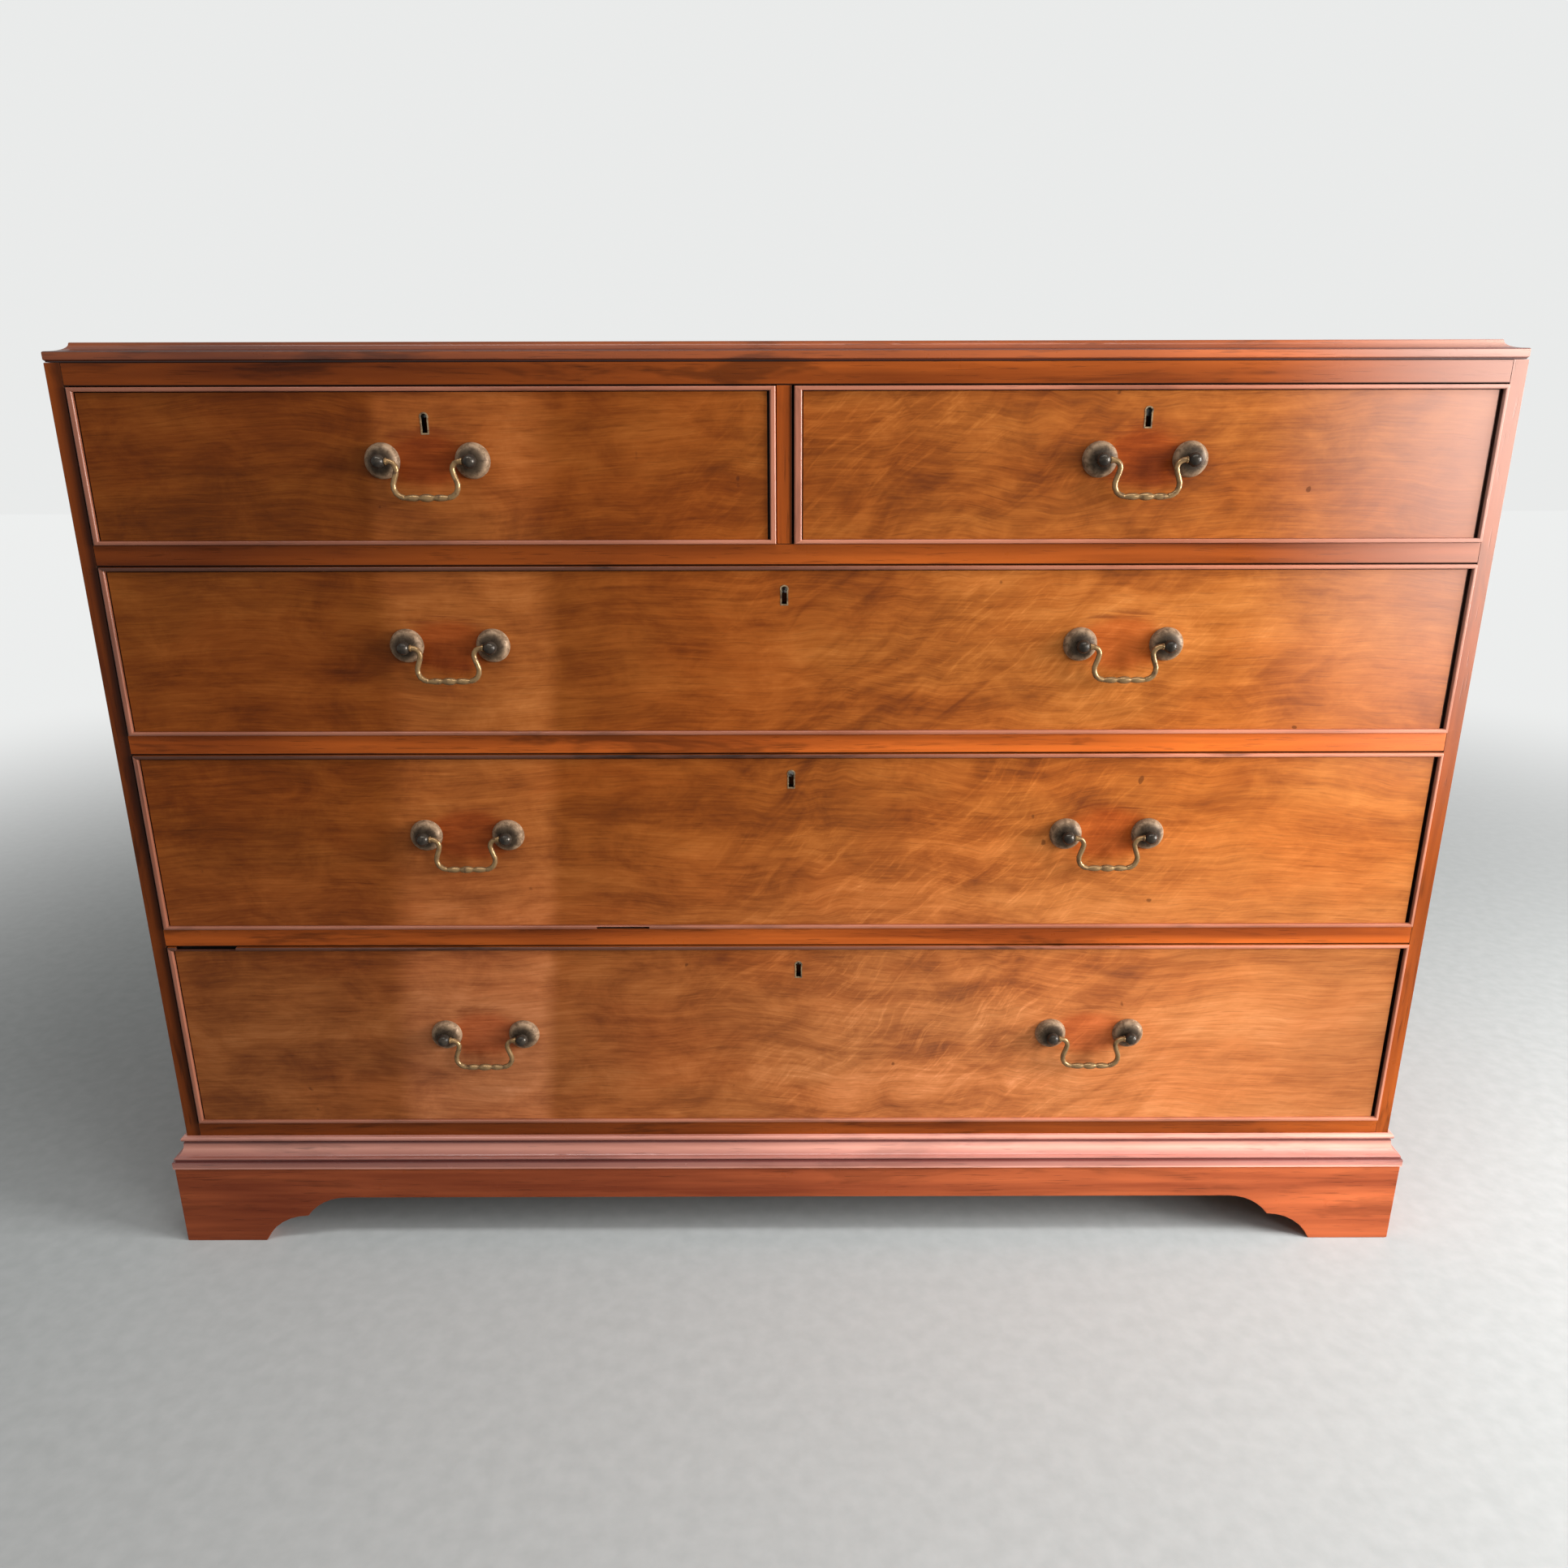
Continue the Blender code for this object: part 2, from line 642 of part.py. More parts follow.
def plinth():
    """Front and side boards, mitred at the front corners, and a plain bracket behind each rear foot."""
    front_face = FRONT_Y - PLINTH_PROJECTION
    left_face, right_face = LEFT_OUT - PLINTH_PROJECTION, RIGHT_OUT + PLINTH_PROJECTION
    outline = [(left_face + x, z) for x, z in bracket_outline(right_face - left_face)]
    bm = bmesh.new()
    inner = add_prism(bm, outline, 1, front_face, front_face + PLINTH_THICKNESS)[1]
    for point in inner:
        if point.co.x < left_face + SEAT:
            point.co.x += PLINTH_THICKNESS
        if point.co.x > right_face - SEAT:
            point.co.x -= PLINTH_THICKNESS
    make_piece("plinth_front", bm, MAHOGANY)

    mitre = front_face + 2 * SEAT
    outline = [(mitre + y, z) for y, z in bracket_outline(BACK_Y - mitre)]
    for name, face, inward in (("plinth_left", left_face, 1), ("plinth_right", right_face, -1)):
        bm = bmesh.new()
        inner = add_prism(bm, outline, 0, face, face + inward * PLINTH_THICKNESS)[1]
        for point in inner:
            if point.co.y < mitre + SEAT:
                point.co.y += PLINTH_THICKNESS
        make_piece(name, bm, MAHOGANY)

        start = face + inward * (PLINTH_THICKNESS + SEAT)
        shape = [
            (0, 0),
            (REAR_FOOT_BASE, 0),
            (REAR_FOOT_WIDTH, REAR_FOOT_APRON),
            (REAR_FOOT_WIDTH, PLINTH_HEIGHT),
            (0, PLINTH_HEIGHT),
        ]
        bm = bmesh.new()
        add_prism(bm, [(start + inward * x, z) for x, z in shape], 1, BACK_Y - PLINTH_THICKNESS, BACK_Y)
        make_piece(name.replace("plinth", "rear") + "_foot", bm, OAK)


def base_moulding_section():
    """The base moulding as (projection, height) pairs: fillet, ogee and bead."""
    bottom = PLINTH_HEIGHT + SEAT
    ogee_bottom = PLINTH_HEIGHT + BASE_FILLET_HEIGHT + BASE_QUIRK_HEIGHT
    ogee_top = ogee_bottom + BASE_OGEE_LIP + BASE_OGEE_RISE
    lip_radius = BASE_OGEE_LIP / 2
    section = [
        (SEAT, bottom),
        (BASE_PROJECTION, bottom),
        (BASE_PROJECTION, PLINTH_HEIGHT + BASE_FILLET_HEIGHT),
        (BASE_OGEE_REACH - BASE_QUIRK_DEPTH, PLINTH_HEIGHT + BASE_FILLET_HEIGHT),
        (BASE_OGEE_REACH - BASE_QUIRK_DEPTH, ogee_bottom),
    ]
    lip = (BASE_OGEE_REACH - lip_radius, ogee_bottom + lip_radius)
    section += arc(lip, lip_radius, -45, 60, BASE_CURVE_SEGMENTS)
    hollow_start = section[-1]
    for step in range(1, BASE_CURVE_SEGMENTS + 1):
        angle = math.pi / 2 * step / BASE_CURVE_SEGMENTS
        reach = hollow_start[0] + (BASE_NECK - hollow_start[0]) * math.sin(angle)
        height = hollow_start[1] + (ogee_top - hollow_start[1]) * (1 - math.cos(angle))
        section.append((reach, height))
    bead_radius = BASE_BEAD_WIDTH / 2
    bead = (BASE_BEAD_PROJECTION - bead_radius, ogee_top + BASE_BEAD_QUIRK + bead_radius)
    section.append((bead[0], ogee_top + BASE_BEAD_QUIRK / 2))
    section += arc(bead, bead_radius, -90, 90, BASE_CURVE_SEGMENTS)
    section.append((SEAT, section[-1][1]))
    return section


def base_moulding():
    """The moulding in one run round the left side, front and right side, mitred at the corners."""
    section = base_moulding_section()
    loops = []
    for side, y in ((-1, BACK_Y), (-1, None), (1, None), (1, BACK_Y)):
        loop = []
        for projection, height in section:
            x = side * (CARCASS_WIDTH / 2 + projection)
            loop.append((x, FRONT_Y - projection if y is None else y, height))
        loops.append(loop)
    bm = bmesh.new()
    add_loft(bm, loops)
    shade_round(make_piece("base_moulding", bm, MAHOGANY))


def tail_spans(height):
    """The middle of each dovetail in a drawer corner and half its width at the root."""
    count = max(2, round(height / TAIL_PITCH))
    pitch = height / count
    return [((index + 0.5) * pitch, (pitch - PIN_WIDTH) / 2) for index in range(count)]


def side_outline(height, depth):
    """A drawer side seen from its face, with a row of tails at each end."""
    front_root, front_tip = FRONT_THICKNESS, DOVETAIL_LAP
    back_root, back_tip = depth - DRAWER_BACK_THICKNESS, depth
    front_flare = (front_root - front_tip) * TAIL_SLOPE_SHARE
    back_flare = (back_tip - back_root) * TAIL_SLOPE_SHARE
    outline = [(front_root + SEAT, 0)]
    spans = tail_spans(height)
    for middle, half in spans:
        outline += [
            (front_root + SEAT, middle - half),
            (front_tip, middle - half - front_flare),
            (front_tip, middle + half + front_flare),
            (front_root + SEAT, middle + half),
        ]
    outline += [(front_root + SEAT, height), (back_root - SEAT, height)]
    for middle, half in reversed(spans):
        outline += [
            (back_root - SEAT, middle + half),
            (back_tip, middle + half + back_flare),
            (back_tip, middle - half - back_flare),
            (back_root - SEAT, middle - half),
        ]
    outline.append((back_root - SEAT, 0))
    return outline


def tail_cutters(bm, height, start, end, root, tip):
    """Adds the sockets that a row of tails fits, from one X place to another."""
    toward_root = 1 if root > tip else -1
    flare = abs(root - tip) * TAIL_SLOPE_SHARE
    past_root = root + toward_root * OVERRUN
    past_tip = tip - toward_root * SEAT
    for middle, half in tail_spans(height):
        narrow = half + SEAT
        wide = half + flare + SEAT
        throat = narrow - OVERRUN * TAIL_SLOPE_SHARE
        outline = [
            (past_root, middle - throat),
            (past_tip, middle - wide),
            (past_tip, middle + wide),
            (past_root, middle + throat),
        ]
        add_prism(bm, outline, 0, start, end)


def drawer_front_body(width, height):
    """The front board with the cock bead, wider at both ends, standing proud round its face."""
    half_round = BEAD_WIDTH / 2
    end_stretch = END_BEAD_WIDTH / BEAD_WIDTH
    section = [(0, FRONT_THICKNESS)]
    bead = arc((half_round, BEAD_PROJECTION - half_round), half_round, 180, 0, BEAD_SEGMENTS)
    section += [(inset, -out) for inset, out in bead]
    section.append((BEAD_WIDTH, 0))
    loops = []
    for inset, y in section:
        side, low, high = width / 2 - inset * end_stretch, inset, height - inset
        loops.append([(-side, y, low), (side, y, low), (side, y, high), (-side, y, high)])
    bm = bmesh.new()
    add_loft(bm, loops)
    return bm


def post_profile():
    """A handle post as (distance out of the face, radius): domed rose, neck and ball."""
    profile = [(-ROSE_LET_IN, 0), (-ROSE_LET_IN, ROSE_RADIUS), (ROSE_EDGE, ROSE_RADIUS)]
    dome = ROSE_DOME - ROSE_EDGE
    span = ROSE_RADIUS - POST_NECK_RADIUS
    for angle in ROSE_DOME_ANGLES:
        turn = math.radians(angle)
        profile.append((ROSE_EDGE + dome * math.sin(turn), POST_NECK_RADIUS + span * math.cos(turn)))
    neck_angle = math.degrees(math.asin(POST_NECK_RADIUS / BALL_RADIUS))
    ball = arc((POST_REACH, 0), BALL_RADIUS, 180 - neck_angle, 0, BALL_SEGMENTS)
    return profile + ball[:-1] + [(POST_REACH + BALL_RADIUS, 0)]


def handle_posts(handle_places, height):
    """Both posts of each handle on a drawer, as one mesh of separate bodies."""
    bm = bmesh.new()
    for place in handle_places:
        for side in (-1, 1):
            centre = Vector((place + side * HANDLE_SPACING / 2, 0, height))
            add_turned(bm, post_profile(), centre, POST_STEPS)
    return bm


def pin_sockets(handle_places, height):
    """Blind holes in the inner side of each ball, for the bail's ends."""
    bm = bmesh.new()
    reach = PIN_RADIUS + SEAT
    circle = arc((-POST_REACH, height), reach, 0, 360, PIN_CUTTER_SIDES)[:-1]
    for place in handle_places:
        for side in (-1, 1):
            post = place + side * HANDLE_SPACING / 2
            socket_floor = post - side * PIN_SOCKET_FLOOR
            add_prism(bm, circle, 0, socket_floor, post - side * (BALL_RADIUS + OVERRUN))
    return bm


def keyhole(centre, height):
    """A keyhole's outline: round head above a straight slot."""
    top = height + KEYHOLE_HEIGHT / 2
    head = (centre, top - KEYHOLE_HEAD_RADIUS)
    half = KEYHOLE_SLOT_WIDTH / 2
    opening = math.degrees(math.asin(half / KEYHOLE_HEAD_RADIUS))
    outline = arc(head, KEYHOLE_HEAD_RADIUS, -90 + opening, 270 - opening, KEYHOLE_SEGMENTS)
    bottom = height - KEYHOLE_HEIGHT / 2
    return outline + [(centre - half, bottom), (centre + half, bottom)]


def drawer_front(frame, width, height, inner, lock, handle_places, handle_height):
    """The drawer front with its bead, joints, lock recess, keyhole, lock case and handle posts."""
    body = drawer_front_body(width, height)
    piece = make_piece(f"{frame.name}_front", body, MAHOGANY_FRONT, parent=frame)
    shade_round(piece)

    sockets = bmesh.new()
    for side in (-1, 1):
        ends = side * (inner - SEAT), side * (width / 2 + OVERRUN)
        tail_cutters(sockets, height - DRAWER_SIDE_DROP, *ends, FRONT_THICKNESS, DOVETAIL_LAP)
    cut(piece, sockets, "dovetail_sockets")

    groove = bmesh.new()
    reach = inner + DRAWER_GROOVE_DEPTH
    add_box(
        groove,
        (-reach, FRONT_THICKNESS - DRAWER_GROOVE_DEPTH, DRAWER_BOTTOM_RAISE),
        (reach, FRONT_THICKNESS + OVERRUN, DRAWER_BOTTOM_RAISE + DRAWER_BOTTOM_THICKNESS + 2 * SEAT),
    )
    cut(piece, groove, "bottom_groove")

    case = bmesh.new()
    case_half = LOCK_CASE_WIDTH / 2
    case_top = height - LOCK_CASE_BELOW_TOP
    case_root = FRONT_THICKNESS - LOCK_CASE_THICKNESS / 2
    add_box(
        case,
        (lock - case_half, case_root, case_top - LOCK_CASE_HEIGHT),
        (lock + case_half, FRONT_THICKNESS + LOCK_CASE_THICKNESS, case_top),
    )
    join(piece, case, "lock_case")

    recess = bmesh.new()
    half = BOLT_WIDTH / 2 + SEAT
    recess_floor = height - BOLT_SETBACK - BOLT_HEIGHT - SEAT
    add_box(
        recess,
        (lock - half, BOLT_BEHIND_FACE - SEAT, recess_floor),
        (lock + half, BOLT_BEHIND_FACE + BOLT_THICKNESS + SEAT, height + OVERRUN),
    )
    cut(piece, recess, "bolt_recess")

    hole = bmesh.new()
    outline = keyhole(lock, height - KEYHOLE_BELOW_TOP)
    add_prism(hole, outline, 1, -OVERRUN, BOLT_BEHIND_FACE + BOLT_THICKNESS / 2)
    cut(piece, hole, "keyhole")

    shade_round(join(piece, handle_posts(handle_places, handle_height), "handle_posts"))
    cut(piece, pin_sockets(handle_places, handle_height), "pin_sockets")


def lock_bolt(frame, height, lock):
    """The bolt, with chamfered upper corners, at rest just under the drawer's top edge."""
    half = BOLT_WIDTH / 2
    outline = [
        (-half, 0),
        (half, 0),
        (half, BOLT_HEIGHT - BOLT_CHAMFER),
        (half - BOLT_CHAMFER, BOLT_HEIGHT),
        (BOLT_CHAMFER - half, BOLT_HEIGHT),
        (-half, BOLT_HEIGHT - BOLT_CHAMFER),
    ]
    bm = bmesh.new()
    add_prism(bm, outline, 1, 0, BOLT_THICKNESS)
    place = (lock, BOLT_BEHIND_FACE, height - BOLT_SETBACK - BOLT_HEIGHT)
    make_piece(f"{frame.name}_lock_bolt", bm, STEEL, place, frame)


def drawer_box(frame, width, height, inner):
    """The two sides, the back and the bottom behind a drawer's front."""
    lining_height = height - DRAWER_SIDE_DROP
    outline = side_outline(lining_height, DRAWER_DEPTH)
    outer = width / 2 - DRAWER_SIDE_INSET
    for name, side in (("left_side", -1), ("right_side", 1)):
        bm = bmesh.new()
        add_prism(bm, outline, 0, side * inner, side * outer)
        piece = make_piece(f"{frame.name}_{name}", bm, OAK, parent=frame)
        groove = bmesh.new()
        low_x, high_x = sorted((side * (inner - OVERRUN), side * (inner + DRAWER_GROOVE_DEPTH)))
        groove_top = DRAWER_BOTTOM_RAISE + DRAWER_BOTTOM_THICKNESS + 2 * SEAT
        groove_end = DRAWER_DEPTH + OVERRUN
        add_box(groove, (low_x, 0, DRAWER_BOTTOM_RAISE), (high_x, groove_end, groove_top))
        cut(piece, groove, "bottom_groove")

    bottom_top = DRAWER_BOTTOM_RAISE + DRAWER_BOTTOM_THICKNESS + SEAT
    reach = inner + DRAWER_GROOVE_DEPTH - SEAT
    bm = bmesh.new()
    add_box(
        bm,
        (-reach, FRONT_THICKNESS - DRAWER_GROOVE_DEPTH + SEAT, DRAWER_BOTTOM_RAISE + SEAT),
        (reach, DRAWER_DEPTH, bottom_top),
    )
    make_piece(f"{frame.name}_bottom", bm, OAK, parent=frame)

    bm = bmesh.new()
    add_box(
        bm,
        (-outer, DRAWER_DEPTH - DRAWER_BACK_THICKNESS, bottom_top + SEAT),
        (outer, DRAWER_DEPTH, lining_height - DRAWER_BACK_DROP),
    )
    back = make_piece(f"{frame.name}_back", bm, OAK, parent=frame)
    sockets = bmesh.new()
    for side in (-1, 1):
        ends = side * (inner - SEAT), side * (outer + OVERRUN)
        root = DRAWER_DEPTH - DRAWER_BACK_THICKNESS
        tail_cutters(sockets, lining_height, *ends, root, DRAWER_DEPTH + OVERRUN)
    cut(back, sockets, "dovetail_sockets")


def bail_points():
    """Half of a bail's centre line, from its pin to the middle of the grip, with the radius at each point."""
    half = HANDLE_SPACING / 2
    pin = [Vector((half - PIN_SOCKET_FLOOR - SEAT, 0, 0)), Vector((half - BALL_RADIUS - SEAT, 0, 0))]
    neck = [Vector((half * across, 0, -BAIL_DROP * down)) for across, down in BAIL_NECK_SHARES]
    grip_start = Vector((GRIP_START_SHARE * KNOP_PITCH, 0, -BAIL_DROP))
    curve = smooth_path([pin[1], *neck, grip_start], BAIL_CURVE_STEPS)
    points = [(pin[0], PIN_RADIUS), (curve[0], PIN_RADIUS)]
    points += [(place, BAIL_RADIUS) for place in curve[1:]]
    radii = (SIDE_KNOP_RADIUS, SIDE_KNOP_RADIUS, BAIL_RADIUS, KNOP_RADIUS)
    for share, radius in zip(KNOP_SHARES, radii):
        points.append((Vector((share * KNOP_PITCH, 0, -BAIL_DROP)), radius))
    return points


def bail(name, place, frame):
    """A swan neck bail as a tube that swells into three knops at the grip."""
    half = bail_points()
    whole = half + [(Vector((-point.x, point.y, point.z)), radius) for point, radius in reversed(half)]
    curve = bpy.data.curves.new(name, "CURVE")
    curve.dimensions = "3D"
    curve.bevel_depth = BAIL_RADIUS
    curve.bevel_resolution = 1
    curve.use_fill_caps = True
    spline = curve.splines.new("POLY")
    spline.points.add(len(whole) - 1)
    for point, (centre, radius) in zip(spline.points, whole):
        point.co = (*centre, 1)
        point.radius = radius / BAIL_RADIUS
    curve.materials.append(BRASS)
    piece = bpy.data.objects.new(name, curve)
    bpy.context.scene.collection.objects.link(piece)
    piece.location = place
    piece.parent = frame


def one_drawer(name, row, left, right):
    """One drawer with all that it carries, hung on an empty at the middle of its lower front edge."""
    width = right - left - DRAWER_LEFT_GAP - DRAWER_RIGHT_GAP
    height = ROW_HEIGHTS[row] - SEAT - DRAWER_TOP_GAP
    centre = drawer_centre(left, right)
    frame = bpy.data.objects.new(name, None)
    frame.location = (centre, FRONT_Y, ROW_FLOORS[row] + SEAT)
    bpy.context.scene.collection.objects.link(frame)

    inner = width / 2 - DRAWER_SIDE_INSET - DRAWER_SIDE_THICKNESS
    lock = ROW_LOCK_OFFSETS[row]
    handle_places = {"": 0}
    if row > 0:
        lock -= centre
        handle_reach = CARCASS_WIDTH * HANDLE_PLACE_SHARE
        handle_places = {"_left": -handle_reach - centre, "_right": handle_reach - centre}
    handle_height = ROW_HEIGHTS[row] * ROW_HANDLE_SHARES[row]
    drawer_front(frame, width, height, inner, lock, handle_places.values(), handle_height)
    drawer_box(frame, width, height, inner)
    lock_bolt(frame, height, lock)
    for side, place in handle_places.items():
        bail(f"{name}{side}_bail", (place, -POST_REACH, handle_height), frame)


def drawers():
    for name, (left, right) in zip(("left_short_drawer", "right_short_drawer"), row_openings(0)):
        one_drawer(name, 0, left, right)
    for row, name in enumerate(LONG_DRAWERS, start=1):
        one_drawer(name, row, *row_openings(row)[0])


clear_scene()
MAHOGANY = finish("mahogany_carcass", (0.22, 0.062, 0.028), 0.32)
MAHOGANY_FRONT = finish("mahogany_drawer_front", (0.32, 0.105, 0.028), 0.28)
OAK = finish("oak_lining", (0.38, 0.25, 0.13), 0.60)
PINE = finish("pine_back", (0.30, 0.20, 0.11), 0.70)
BRASS = finish("aged_brass", (0.30, 0.22, 0.13), 0.35, 1.0)
STEEL = finish("lock_steel", (0.35, 0.34, 0.32), 0.40, 1.0)

top_board()
side_panel("left_side_panel", LEFT_OUT, LEFT_IN)
side_panel("right_side_panel", RIGHT_OUT, RIGHT_IN)
rails_and_divider()
boards()
plinth()
base_moulding()
drawers()
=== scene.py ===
"""Dresses an old mahogany chest of drawers: eased boards, cock beads, turned and cast brass, polish, wear."""

import json
import math
from contextlib import contextmanager

import bmesh
import bpy
from mathutils import Matrix, Vector


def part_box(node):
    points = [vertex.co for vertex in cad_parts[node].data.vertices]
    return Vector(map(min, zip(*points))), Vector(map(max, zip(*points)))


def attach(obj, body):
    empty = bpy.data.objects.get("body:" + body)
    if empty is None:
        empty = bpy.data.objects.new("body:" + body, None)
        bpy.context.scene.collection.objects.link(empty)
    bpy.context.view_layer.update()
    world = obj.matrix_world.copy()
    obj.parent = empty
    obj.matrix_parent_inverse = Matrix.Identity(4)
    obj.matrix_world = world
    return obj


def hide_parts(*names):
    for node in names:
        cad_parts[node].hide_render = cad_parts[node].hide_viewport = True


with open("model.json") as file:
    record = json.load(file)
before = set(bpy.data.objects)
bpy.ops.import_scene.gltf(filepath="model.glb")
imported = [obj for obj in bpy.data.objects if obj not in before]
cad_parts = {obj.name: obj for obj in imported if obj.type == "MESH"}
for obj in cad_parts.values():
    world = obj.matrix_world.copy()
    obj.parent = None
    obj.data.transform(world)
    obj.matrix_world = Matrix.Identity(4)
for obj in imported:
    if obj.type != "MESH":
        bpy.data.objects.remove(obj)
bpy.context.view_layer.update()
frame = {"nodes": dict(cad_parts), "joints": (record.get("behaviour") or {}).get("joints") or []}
NODES = frame["nodes"]

# Places that the frame gives
CARCASS_LOW, CARCASS_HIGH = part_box("left_side_panel")[0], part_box("right_side_panel")[1]
FRONT_Y, BACK_Y = CARCASS_LOW.y, CARCASS_HIGH.y
LEFT_OUT, RIGHT_OUT = CARCASS_LOW.x, CARCASS_HIGH.x
PLINTH_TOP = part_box("plinth_front")[1].z
TOP_LOW, TOP_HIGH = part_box("top_board")
MOULDING_LOW, MOULDING_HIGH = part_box("base_moulding")
DRAWERS = {
    "left_short_drawer": ("left_short_drawer_bail",),
    "right_short_drawer": ("right_short_drawer_bail",),
    "upper_long_drawer": ("upper_long_drawer_left_bail", "upper_long_drawer_right_bail"),
    "middle_long_drawer": ("middle_long_drawer_left_bail", "middle_long_drawer_right_bail"),
    "bottom_long_drawer": ("bottom_long_drawer_left_bail", "bottom_long_drawer_right_bail"),
}
PIVOTS = {
    joint["child"]: Vector(joint["pos_m"])
    for joint in frame["joints"]
    if joint["name"].endswith("_swing")
}

# Joinery
SEAT = 0.0003
FIT = Vector((SEAT, SEAT, SEAT))
MERGE_DISTANCE = 0.000005
TONGUE_THICKNESS = 0.005
TONGUE_SETBACK = 0.025
TONGUE_HEIGHT = 0.006
BACK_THICKNESS = 0.010
EASED_EDGE = 0.0007
FACET_ANGLE = math.radians(35)

# Drawer fronts
FRONT_THICKNESS = 0.020
BEAD_WIDTH = 0.0036
BEAD_PROJECTION = 0.0026
BEAD_DEPTH = 0.0055
BEAD_GAPS = {"lower": 0.0002, "upper": 0.0007}
END_BEADS = {"left_short_drawer": (0.0048, 0.0050), "right_short_drawer": (0.0066, 0.0030)}
LONG_END_BEADS = (0.0048, 0.0030)
END_GAPS = {"left_short_drawer": (0.0013, 0.0022), "right_short_drawer": (0.0010, 0.0040)}
LONG_END_GAPS = (0.0013, 0.0042)
CHIPS = {
    "middle_long_drawer": ((-0.1816, -0.1313), "lower"),
    "bottom_long_drawer": ((-0.5869, -0.5286), "upper"),
}
GROOVE_DEPTH = 0.0035
KEYHOLES_BELOW_TOP = {"left_short_drawer": 0.0290, "middle_long_drawer": 0.0240}
KEYHOLE_BELOW_TOP = 0.0253
KEYHOLE_HEIGHT = 0.0155
KEYHOLE_HEAD = 0.0026
KEYHOLE_SLOT = 0.0045
ESCUTCHEON_WALL = 0.0012
LOCK_CASE = Vector((0.062, 0.004, 0.038))
LOCK_CASE_BELOW_TOP = 0.003
SCREW_RADIUS = 0.0021
SCREW_HEIGHT = 0.0012
SCREW_FROM_END = 0.003

# Handles
HANDLE_SPACING = 0.076
ROSE_RIM = 0.0013
ROSE_RISE = 0.0066
ROSE_NECK = 0.0034
ROSE_SPAN = 0.0112
POST_WAIST = 0.0030
POST_REACH = 0.0125
BALL_RADIUS = 0.0060
PIN_RADIUS = 0.0015
PIN_DEPTH = 0.0036
SOCKET_OVERRUN = 0.002
BAIL_RADIUS = 0.0024
BAIL_DROP = 0.0297
KNOPS_REACH = 0.0185
MIDDLE_KNOP_REACH = 0.0062
SIDE_KNOP_LENGTH = 0.0123
KNOP_NECK = 0.0019
MIDDLE_KNOP_SWELL = 0.0015
SIDE_KNOP_SWELL = 0.0010


# Modelling by hand


def let_go():
    bpy.ops.object.select_all(action="DESELECT")


def take(piece):
    """Selects one piece and nothing else, and makes it the active one."""
    let_go()
    piece.select_set(True)
    bpy.context.view_layer.objects.active = piece


def settle(name):
    """Names the primitive that was just added and lays its place into its mesh."""
    piece = bpy.context.object
    bpy.ops.object.transform_apply(location=True, rotation=True, scale=True)
    piece.name = piece.data.name = name
    return piece


def block(name, low, high):
    low, high = Vector(low), Vector(high)
    let_go()
    bpy.ops.mesh.primitive_cube_add(size=1, location=(low + high) / 2)
    bpy.context.object.scale = high - low
    return settle(name)


def sheet(name, low, high, facing="Z"):
    """A flat rectangle between two corners, facing up, or to the front with facing Y."""
    low, high = Vector(low), Vector(high)
    let_go()
    turn = (math.pi / 2, 0, 0) if facing == "Y" else (0, 0, 0)
    bpy.ops.mesh.primitive_plane_add(size=1, location=(low + high) / 2, rotation=turn)
    size = high - low
    bpy.context.object.scale = (size.x, size.z, 1) if facing == "Y" else (size.x, size.y, 1)
    return settle(name)


def disc(name, centre, radius, steps):
    """A filled circle that faces the front."""
    let_go()
    bpy.ops.mesh.primitive_circle_add(
        vertices=steps, radius=radius, fill_type="NGON", location=centre, rotation=(math.pi / 2, 0, 0)
    )
    return settle(name)


def rod(name, centre, radius, length, steps, along="Y"):
    """A solid round bar about a centre, from front to back, or from side to side with along X."""
    let_go()
    turn = (math.pi / 2, 0, 0) if along == "Y" else (0, math.pi / 2, 0)
    bpy.ops.mesh.primitive_cylinder_add(
        vertices=steps, radius=radius, depth=length, location=centre, rotation=turn
    )
    return settle(name)


@contextmanager
def bench(piece, mode="FACE"):
    """Holds a piece in edit mode with nothing selected."""
    take(piece)
    bpy.ops.object.mode_set(mode="EDIT")
    bpy.ops.mesh.select_mode(type=mode)
    bpy.ops.mesh.select_all(action="DESELECT")
    yield
    bpy.ops.object.mode_set(mode="OBJECT")


def pick_faces(rule):
    """Selects the faces of the piece on the bench whose middle and normal pass a rule."""
    mesh = bmesh.from_edit_mesh(bpy.context.object.data)
    for face in mesh.faces:
        face.select_set(bool(rule(face.calc_center_median(), face.normal)))
    bmesh.update_edit_mesh(bpy.context.object.data)


def pick_edges(rule):
    """Selects the edges of the piece on the bench whose two ends pass a rule."""
    mesh = bmesh.from_edit_mesh(bpy.context.object.data)
    for edge in mesh.edges:
        edge.select_set(bool(rule(edge.verts[0].co, edge.verts[1].co)))
    bmesh.update_edit_mesh(bpy.context.object.data)


def finish_modifier(piece, modifier):
    take(piece)
    bpy.ops.object.modifier_apply(modifier=modifier.name)


def carve(piece, *cutters, operation="DIFFERENCE"):
    """Cuts each cutter out of a piece, or joins it on, and clears it away."""
    for cutter in cutters:
        boolean = piece.modifiers.new(cutter.name, "BOOLEAN")
        boolean.operation = operation
        boolean.object = cutter
        finish_modifier(piece, boolean)
        bpy.data.objects.remove(cutter)
    return piece


def ease(piece, width=EASED_EDGE, steps=2, angle=FACET_ANGLE):
    """Rounds the arrises of a piece by a little, as a plane and years of hands do."""
    bevel = piece.modifiers.new("eased_edges", "BEVEL")
    bevel.width = width
    bevel.segments = steps
    bevel.limit_method = "ANGLE"
    bevel.angle_limit = angle
    finish_modifier(piece, bevel)
    return smooth(piece)


